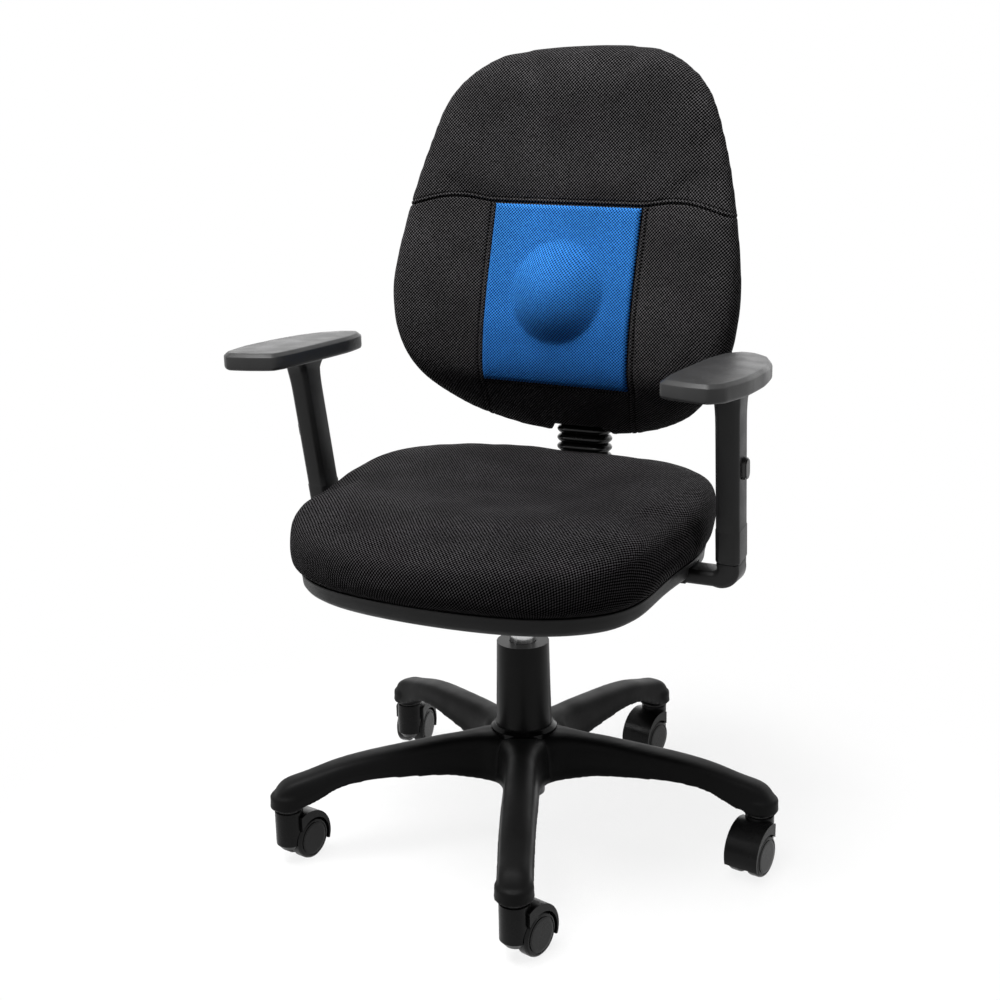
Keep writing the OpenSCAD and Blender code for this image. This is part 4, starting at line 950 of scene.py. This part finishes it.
def make_panel():
    """The blue panel: stretched over the lumbar ball, its hem turned in behind."""
    nx, nz, hem = 72, 80, 3.0
    xs = np.linspace(-PANEL_W / 2, PANEL_W / 2, nx + 1)
    zs = np.linspace(PANEL_LOW, PANEL_LOW + PANEL_H, nz + 1)
    flat_x, flat_z = np.meshgrid(xs, zs)
    edge = np.minimum.reduce([flat_x - xs[0], xs[-1] - flat_x, flat_z - zs[0], zs[-1] - flat_z])
    up = flat_z - PANEL_MID
    x = flat_x * math.cos(TILT) + up * math.sin(TILT)
    z = PANEL_MID - flat_x * math.sin(TILT) + up * math.cos(TILT)
    roll = hem * (1 - np.sqrt(np.clip(1 - (1 - np.clip(edge / 4.0, 0, 1)) ** 2, 0, 1)))
    crown = 1.2 * ease(edge / 50)
    y = back_front(x, z) - 2.2 - crown - bump_height(x, z) + roll
    points = np.stack([x, y, z], 2).reshape(-1, 3)
    under = points + [0, PANEL_T - 0.6, 0]
    count = len(points)
    faces = []
    for r in range(nz):
        for c in range(nx):
            a = r * (nx + 1) + c
            quad = (a, a + 1, a + nx + 2, a + nx + 1)
            faces += [quad, tuple(q + count for q in reversed(quad))]
    rim = (
        [c for c in range(nx + 1)]
        + [(r * (nx + 1)) + nx for r in range(1, nz + 1)]
        + [nz * (nx + 1) + c for c in range(nx - 1, -1, -1)]
        + [r * (nx + 1) for r in range(nz - 1, 0, -1)]
    )
    for k, a in enumerate(rim):
        b = rim[(k + 1) % len(rim)]
        faces.append((b, a, a + count, b + count))
    panel = mesh_object("lumbar_panel_cloth", np.concatenate([points, under]), faces)
    outward(panel)
    layer = panel.data.attributes.new("knit", "FLOAT_VECTOR", "POINT")
    flat = np.stack([flat_x, flat_z, 0 * flat_x], 2).reshape(-1, 3) * MM
    values = np.concatenate([flat, flat]).astype(np.float32)
    layer.data.foreach_set("vector", values.ravel())
    smooth_shade(panel, 60)
    return dress(panel, blue_mesh, "back", "blue_mesh", "lumbar_panel")


panel_piece = make_panel()


def make_back_shell():
    steps = 8
    rings = [
        (170, 0), (100, 0), (60, 0), (44, 0.2), (36, 0.9), (30, 2.2), (25.5, 4.4), (22, 7.6), (19.6, 11.5),
        (18.4, 15), (18.4, 16), (21, 16), (27, 7), (41, COVER_T), (60, COVER_T), (100, COVER_T),
        (170, COVER_T),
    ]
    shell = loft("back_shell", [rear_ring(inset, ahead, steps) for inset, ahead in rings])
    cut(shell, [neck_box("neck")])
    smooth_shade(shell, 35)
    return dress(shell, shell_plastic, "back", "shell_plastic", "back_cover")


make_back_shell()


# Bellows


def make_bellows():
    across, rows = 64, 10
    rings = []
    for k in range(RIB_COUNT * rows + 1):
        up = k / rows * RIB_PITCH
        phase = (k % rows) / rows
        rib = abs(math.sin(math.pi * phase)) ** 0.6
        groove = BELLOWS_GROOVE * (1 - rib)
        w, t = BELLOWS_W - 2 * groove, BELLOWS_T - 2 * groove
        r = t / 2 - 2
        ring = []
        for j in range(across):
            a = 2 * math.pi * (j + 0.5) / across
            cx = math.copysign(w / 2 - r, math.cos(a))
            cy = math.copysign(2, math.sin(a))
            side, along = cx + r * math.cos(a), cy + r * math.sin(a)
            z = BELLOWS_LOW + up
            ring.append([side, bar_line(z) + along, z])
        rings.append(ring)
    bellows = loft("bellows_folds", rings)
    half = BAR_W / 2 + SLIP
    slot = box("slot", (-half, 0, BELLOWS_LOW - 20), (half, BAR_T + 2 * SLIP, BELLOWS_HIGH + 20))
    co = coords(slot)
    co[:, 1] += [bar_line(z) - BAR_T / 2 - SLIP for z in co[:, 2]]
    set_coords(slot, co)
    cut(bellows, [slot])
    smooth_shade(bellows, 50)
    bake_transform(bellows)
    return dress(bellows, rubber, None, "rubber", "bellows")


make_bellows()


# Armrests

LEAN, SPLAY = math.radians(POST_LEAN), math.radians(POST_SPLAY)
POST_DIR = np.array([math.cos(LEAN) * math.sin(SPLAY), -math.sin(LEAN), math.cos(LEAN) * math.cos(SPLAY)])
POST_L = (PAD_LOW - ELBOW_TOP) / POST_DIR[2]
POST_ACROSS = np.array([math.cos(SPLAY), 0, -math.sin(SPLAY)])
POST_ALONG = np.array([math.sin(LEAN) * math.sin(SPLAY), math.cos(LEAN), math.sin(LEAN) * math.cos(SPLAY)])
POST_FOOT = np.array([POST_X, -POST_Y, ELBOW_TOP], float)


def post_point(p):
    return POST_FOOT + p[0] * POST_ACROSS + p[1] * POST_ALONG + p[2] * POST_DIR


def post_ring(w, d, cut_mm, round_mm=1.6):
    """Rectangle with cut corners whose edges are rounded, as pairs."""
    a, b, c = w / 2, d / 2, cut_mm
    p = np.array(
        [[a, -b + c], [a, b - c], [a - c, b], [-a + c, b],
         [-a, b - c], [-a, -b + c], [-a + c, -b], [a - c, -b]], float,
    )
    out = []
    for i in range(8):
        before, here, after = p[i - 1], p[i], p[(i + 1) % 8]
        u, v = before - here, after - here
        r = min(round_mm, 0.45 * np.linalg.norm(u), 0.45 * np.linalg.norm(v))
        start, end = here + u / np.linalg.norm(u) * r, here + v / np.linalg.norm(v) * r
        out += [start, 0.25 * start + 0.5 * here + 0.25 * end, end]
    return np.array(out)


def on_side(obj, side):
    if side < 0:
        co = coords(obj)
        co[:, 0] *= -1
        set_coords(obj, co)
        bm = bmesh.new()
        bm.from_mesh(obj.data)
        bmesh.ops.reverse_faces(bm, faces=bm.faces)
        bm.to_mesh(obj.data)
        bm.free()


def post_box(name, low, high):
    obj = box(name, low, high)
    set_coords(obj, np.array([post_point(p) for p in coords(obj)]))
    return obj


def make_elbow(side, label):
    w, d = SLEEVE_W - 1, SLEEVE_D - 1
    step_x = SEAT_W / 2 - BOARD_INSET + 2
    bar_z = COVER_LOW + ELBOW_BAR_H / 2
    bend = ELBOW_TOP - 6 - bar_z
    rings = []
    for x in (step_x, step_x + 1.0):
        rings.append([[x, -POST_Y + p[1], bar_z - p[0]] for p in post_ring(ELBOW_BAR_H, BRACKET_D, 4)])
    count = 15
    for k in range(count + 1):
        a = math.pi / 2 * k / count
        share = k / count
        h, dd = ELBOW_BAR_H + (w - ELBOW_BAR_H) * share, BRACKET_D + (d - BRACKET_D) * share
        mid_x, mid_z = POST_X - bend + bend * math.sin(a), bar_z + bend - bend * math.cos(a)
        ring = []
        for p in post_ring(h, dd, 4):
            u = p[0] * (1 + 0.32 * math.sin(2 * a)) if p[0] > 0 else p[0]
            ring.append([mid_x + u * math.sin(a), -POST_Y + p[1], mid_z - u * math.cos(a)])
        rings.append(ring)
    for inset, up in ((0, -1.2), (0.8, -SLIP)):
        rings.append([post_point([p[0], p[1], up]) for p in post_ring(w - 2 * inset, d - 2 * inset, 4)])
    elbow = loft("elbow", rings)
    plate = box(
        "plate", (BRACKET_IN, -POST_Y - BRACKET_D / 2, COVER_LOW),
        (step_x + 12, -POST_Y + BRACKET_D / 2, BOARD_Z - 0.2),
    )
    bevel(plate, 0.8)
    upright_w = SLEEVE_W - 2 * SLEEVE_WALL - 2 * SLIP
    upright_d = SLEEVE_D - 2 * SLEEVE_WALL - 2 * SLIP
    upright = post_box(
        "upright", (-upright_w / 2, -upright_d / 2, -8), (upright_w / 2, upright_d / 2, UPRIGHT_L)
    )
    notch = post_box(
        "notch", (upright_w / 2 - NOTCH, -BUTTON_W / 2 - 2, BUTTON_UP - BUTTON_L / 2 - 3),
        (upright_w / 2 + 2, BUTTON_W / 2 + 2, 300),
    )
    cut(upright, [notch])
    bevel(upright, 0.8)
    bracket = join("arm_elbow_" + label, [elbow, plate, upright])
    on_side(bracket, side)
    smooth_shade(bracket, 42)
    return dress(bracket, dark_plastic, "seat", "dark_plastic", "arm_bracket_" + label)


def make_sleeve(side, label):
    w, d = SLEEVE_W, SLEEVE_D
    rings = []
    for up, more in (
        (0, -0.8), (0.8, 0.6), (2, 1), (38.4, 1), (39.2, 0.8), (40, 0),
        (60, 0), (100, 0), (POST_L - 44, 0), (POST_L - 34, 0.2), (POST_L - 26, 0.8), (POST_L - 18, 1.8),
    ):
        rings.append([post_point([p[0], p[1], up]) for p in post_ring(w + more, d + more, 5)])
    for down, mw, md in ((14, 2.6, 5), (10, 4, 9), (7, 5.6, 13), (4, 7.4, 17.5), (2, 8.4, 20), (0, 9, 22)):
        centre = post_point([0, 0, POST_L - down])
        rings.append([centre + [p[0], p[1], 0] for p in post_ring(w + mw, d + md, 6)])
    sleeve = loft("arm_post_" + label, rings)
    inner_w, inner_d = w - 2 * SLEEVE_WALL, d - 2 * SLEEVE_WALL
    hollow = post_box(
        "hollow", (-inner_w / 2, -inner_d / 2, -5), (inner_w / 2, inner_d / 2, UPRIGHT_L + 3)
    )
    ring = []
    for k in range(32):
        a = 2 * math.pi * k / 32
        r = BUTTON_W / 2 + SLIP
        off = math.copysign((BUTTON_L - BUTTON_W) / 2, math.sin(a)) if abs(math.sin(a)) > 1e-6 else 0
        ring.append([r * math.cos(a), off + r * math.sin(a)])
    hole = loft("hole", [
        [post_point([x, p[0], BUTTON_UP + p[1]]) for p in ring] for x in (inner_w / 2 - 1, w / 2 + 5)
    ])
    cut(sleeve, [hollow, hole])
    on_side(sleeve, side)
    smooth_shade(sleeve, 42)
    return dress(sleeve, dark_plastic, "arm_" + label, "dark_plastic", "arm_sleeve_" + label)


def pad_ring(inset, up, steps):
    s, t = 1 - inset / 45, 1 - inset / 115
    here = np.array(PAD_OUTLINE, float)
    share = np.tile(np.arange(steps) / steps, len(here))[:, None]
    start, end = np.repeat(here, steps, axis=0), np.repeat(np.roll(here, -1, axis=0), steps, axis=0)
    p = 0.45 * smooth_ring(PAD_OUTLINE, steps) + 0.55 * (start * (1 - share) + end * share)
    return np.stack(
        [POST_X + 6 + (p[:, 0] - 6) * s, -POST_Y - 42 + (p[:, 1] + 42) * t, np.full(len(p), PAD_LOW + up)], 1
    )


def make_pad(side, label):
    t = PAD_T
    profile = [
        (14, 0), (5, 0), (3.2, 0.2), (1.6, 1.0), (0.7, 2.0), (0.2, 3.2), (0, 4.5), (0, 9), (0, t - 5.6),
        (0.1, t - 4.9), (0.5, t - 4.3), (1.1, t - 3.8), (4.0, t - 1.3), (4.6, t - 0.85), (5.4, t - 0.6),
        (9, t - 0.5), (14, t - 0.3), (20, t - 0.15), (28, t - 0.05), (36, t), (42, t),
    ]
    pad = loft("arm_pad_skin_" + label, [pad_ring(i, u, 8) for i, u in profile])
    on_side(pad, side)
    smooth_shade(pad, 50)
    return dress(pad, pad_plastic, "arm_" + label, "pad_plastic", "arm_pad_" + label)


for arm_side, arm_label in ((1, "left"), (-1, "right")):
    make_elbow(arm_side, arm_label)
    make_sleeve(arm_side, arm_label)
    make_pad(arm_side, arm_label)


# Base


def arm_stations():
    r, w, s = CIRCLE_R, ARM_TIP_W, SOCKET_D / 2
    return [
        [20, ARM_ROOT_W + 34, SOLE_Z - 4, RIDGE_Z - 1], [44, ARM_ROOT_W + 24, SOLE_Z - 1, RIDGE_Z - 1],
        [60, ARM_ROOT_W + 10, SOLE_Z + 2, RIDGE_Z - 1], [80, ARM_ROOT_W + 1, SOLE_Z + 6, RIDGE_Z - 2],
        [105, ARM_ROOT_W - 2, SOLE_Z + 11, RIDGE_Z - 3],
        [160, (ARM_ROOT_W + w) / 2, SOLE_Z + 16, RIDGE_Z - 8],
        [r - 96, w + 1.5, SOLE_Z + 17, RIDGE_Z - 12], [r - 60, w + 1, SOLE_Z + 12, RIDGE_Z - 18],
        [r - 26, w, SOCKET_Z + 10, RIDGE_Z - 27], [r, w, SOCKET_Z + 5, SOCKET_Z + SOCKET_H + 2],
        [r + 0.55 * s, 0.83 * w, SOCKET_Z + 5, SOCKET_Z + SOCKET_H - 7],
        [r + 0.85 * s, 0.5 * w, SOCKET_Z + 5, SOCKET_Z + SOCKET_H - 18],
    ]


def arm_section(x, w, low, high):
    """Section with a flared lip along its foot and a rounded ridge."""
    h, a = high - low, w / 2
    half = [[-1, 0], [-1, 0.09], [-0.97, 0.16], [-0.9, 0.22], [-0.88, 0.32], [-0.86, 0.5], [-0.83, 0.68],
            [-0.77, 0.82], [-0.64, 0.92], [-0.45, 0.975], [-0.22, 1]]
    pts = [[x, p[0] * a, low + p[1] * h] for p in reversed(half)]
    return pts + [[x, -p[0] * a, low + p[1] * h] for p in half]


def arm_turn(i):
    """Direction of arm i of the base, in radians from +X."""
    return math.radians(FIRST_ARM + i * 360 / ARM_COUNT - 90)


def arm_void(stations):
    """Hollow under an arm: each section is a trapezium, narrower at its top."""
    return loft("void", [
        [[x, -0.36 * w, high], [x, -0.5 * w, low], [x, 0.5 * w, low], [x, 0.36 * w, high]]
        for x, w, low, high in stations
    ])


def make_base():
    stations = smooth_rows(arm_stations(), 6)
    inner = [s for s in arm_stations() if 30 < s[0] < CIRCLE_R - 20]
    hollow = [[x, w - 2 * ARM_WALL, low - 30, high - ARM_WALL - 3] for x, w, low, high in inner]
    hollow = smooth_rows(hollow, 5)
    foot, tip = SOCKET_Z + SOCKET_LIFT, (CIRCLE_R, 0)
    pieces = []
    for i in range(ARM_COUNT):
        arm = loft("arm", [arm_section(*s) for s in stations])
        cut(arm, [arm_void(hollow)])
        socket = cylinder("socket", tip, SOCKET_D / 2 + 0.2, foot, SOCKET_Z + SOCKET_H - 15, 64)
        lip = cylinder("lip", tip, SOCKET_D / 2 + 0.9, foot, foot + 3, 64)
        for piece in (arm, socket, lip):
            piece.data.transform(Matrix.Rotation(arm_turn(i), 4, "Z"))
            pieces.append(piece)
    pieces.append(cylinder("hub", (0, 0), HUB_D / 2, HUB_Z, HUB_TOP, 96))
    star = join("base_star", pieces)
    remesh(star, BASE_VOXEL, 6)
    tools = [
        cylinder("bore", (0, 0), TUBE_D / 2 + 0.3, 0, 400, 96),
        cylinder("seat_ring", (0, 0), COLLAR_D / 2 + 0.4, HUB_TOP - 0.2, 400, 96),
    ]
    for i in range(ARM_COUNT):
        place = (CIRCLE_R * math.cos(arm_turn(i)), CIRCLE_R * math.sin(arm_turn(i)))
        tools.append(cylinder("bore", place, STEM_R + 2.1, 0, SOCKET_Z + SOCKET_H - 10, 32))
    cut(star, tools)
    smooth_shade(star, 50)
    return dress(star, base_plastic, "base", "base_plastic", "star_base")


make_base()


# Floor, light and camera


FLOOR_FADE = (0.38, 0.72)
FLOOR_SHOW, FLOOR_GLOW, WORLD_LEVEL = 0.13, 0.35, 0.03


def make_stage():
    """White floor that fades into the white background away from the chair."""
    reach, sides = 2600, 72
    floor = cylinder("floor", (0, 0), reach, -10, 0, sides)
    look = Look("floor_look")
    look.set(Roughness=0.9, Specular_IOR_Level=0.1)
    look.set(Emission_Color=(1, 1, 1, 1), Emission_Strength=FLOOR_GLOW)
    look.link(look.mix(look.noise(3.0, 2.0), grey(0.97), grey(0.99)), "Base Color")
    parts = look.add("ShaderNodeSeparateXYZ", {"Vector": look.place()})
    across = look.math("POWER", parts.outputs["X"], 2.0)
    far = look.math("SQRT", look.math("ADD", across, look.math("POWER", parts.outputs["Y"], 2.0)))
    look.link(look.span(far, *FLOOR_FADE, FLOOR_SHOW, 0.0, smooth=True), "Alpha")
    floor.data.materials.append(look.mat)


make_stage()


def area_light(name, place, aim, size, power):
    data = bpy.data.lights.new(name, "AREA")
    data.shape = "RECTANGLE"
    data.size, data.size_y = size
    data.energy = power
    obj = bpy.data.objects.new(name, data)
    bpy.context.collection.objects.link(obj)
    obj.location = place
    obj.rotation_euler = (Vector(aim) - Vector(place)).to_track_quat("-Z", "Y").to_euler()


area_light("top_soft", (-0.4, -0.95, 3.0), (0, 0, 0.5), (1.9, 1.6), 110)
area_light("key_strip", (-2.1, -1.9, 1.6), (0, 0, 0.55), (0.3, 1.8), 14)
area_light("back_soft", (-0.9, 3.2, 1.2), (0, 0, 0.5), (4.6, 2.2), 40)
area_light("side_strip", (2.6, 0.4, 1.4), (0, 0, 0.4), (0.35, 1.6), 7)

world = bpy.data.worlds.new("studio")
world.use_nodes = True
bpy.context.scene.world = world
tree = world.node_tree
background = tree.nodes["Background"]
rays = tree.nodes.new("ShaderNodeLightPath")
seen = rays.outputs["Is Camera Ray"]
for other in ("Is Glossy Ray", "Is Transmission Ray"):
    either = tree.nodes.new("ShaderNodeMath")
    either.operation = "MAXIMUM"
    tree.links.new(seen, either.inputs[0])
    tree.links.new(rays.outputs[other], either.inputs[1])
    seen = either.outputs[0]
level = tree.nodes.new("ShaderNodeMapRange")
level.inputs["To Min"].default_value = WORLD_LEVEL
level.inputs["To Max"].default_value = 1.0
tree.links.new(seen, level.inputs["Value"])
tree.links.new(level.outputs["Result"], background.inputs["Strength"])
background.inputs["Color"].default_value = (1, 1, 1, 1)


def make_camera():
    data = bpy.data.cameras.new("camera")
    data.lens, data.sensor_width = CAMERA_LENS, SENSOR_W
    data.clip_start, data.clip_end = 0.05, 50.0
    obj = bpy.data.objects.new("camera", data)
    bpy.context.collection.objects.link(obj)
    turn = Matrix((CAMERA_RIGHT, CAMERA_UP, -Vector(CAMERA_AHEAD))).transposed().to_4x4()
    obj.matrix_world = Matrix.Translation(CAMERA_PLACE) @ turn
    bpy.context.scene.camera = obj
    bpy.context.scene.view_settings.view_transform = "Standard"


make_camera()
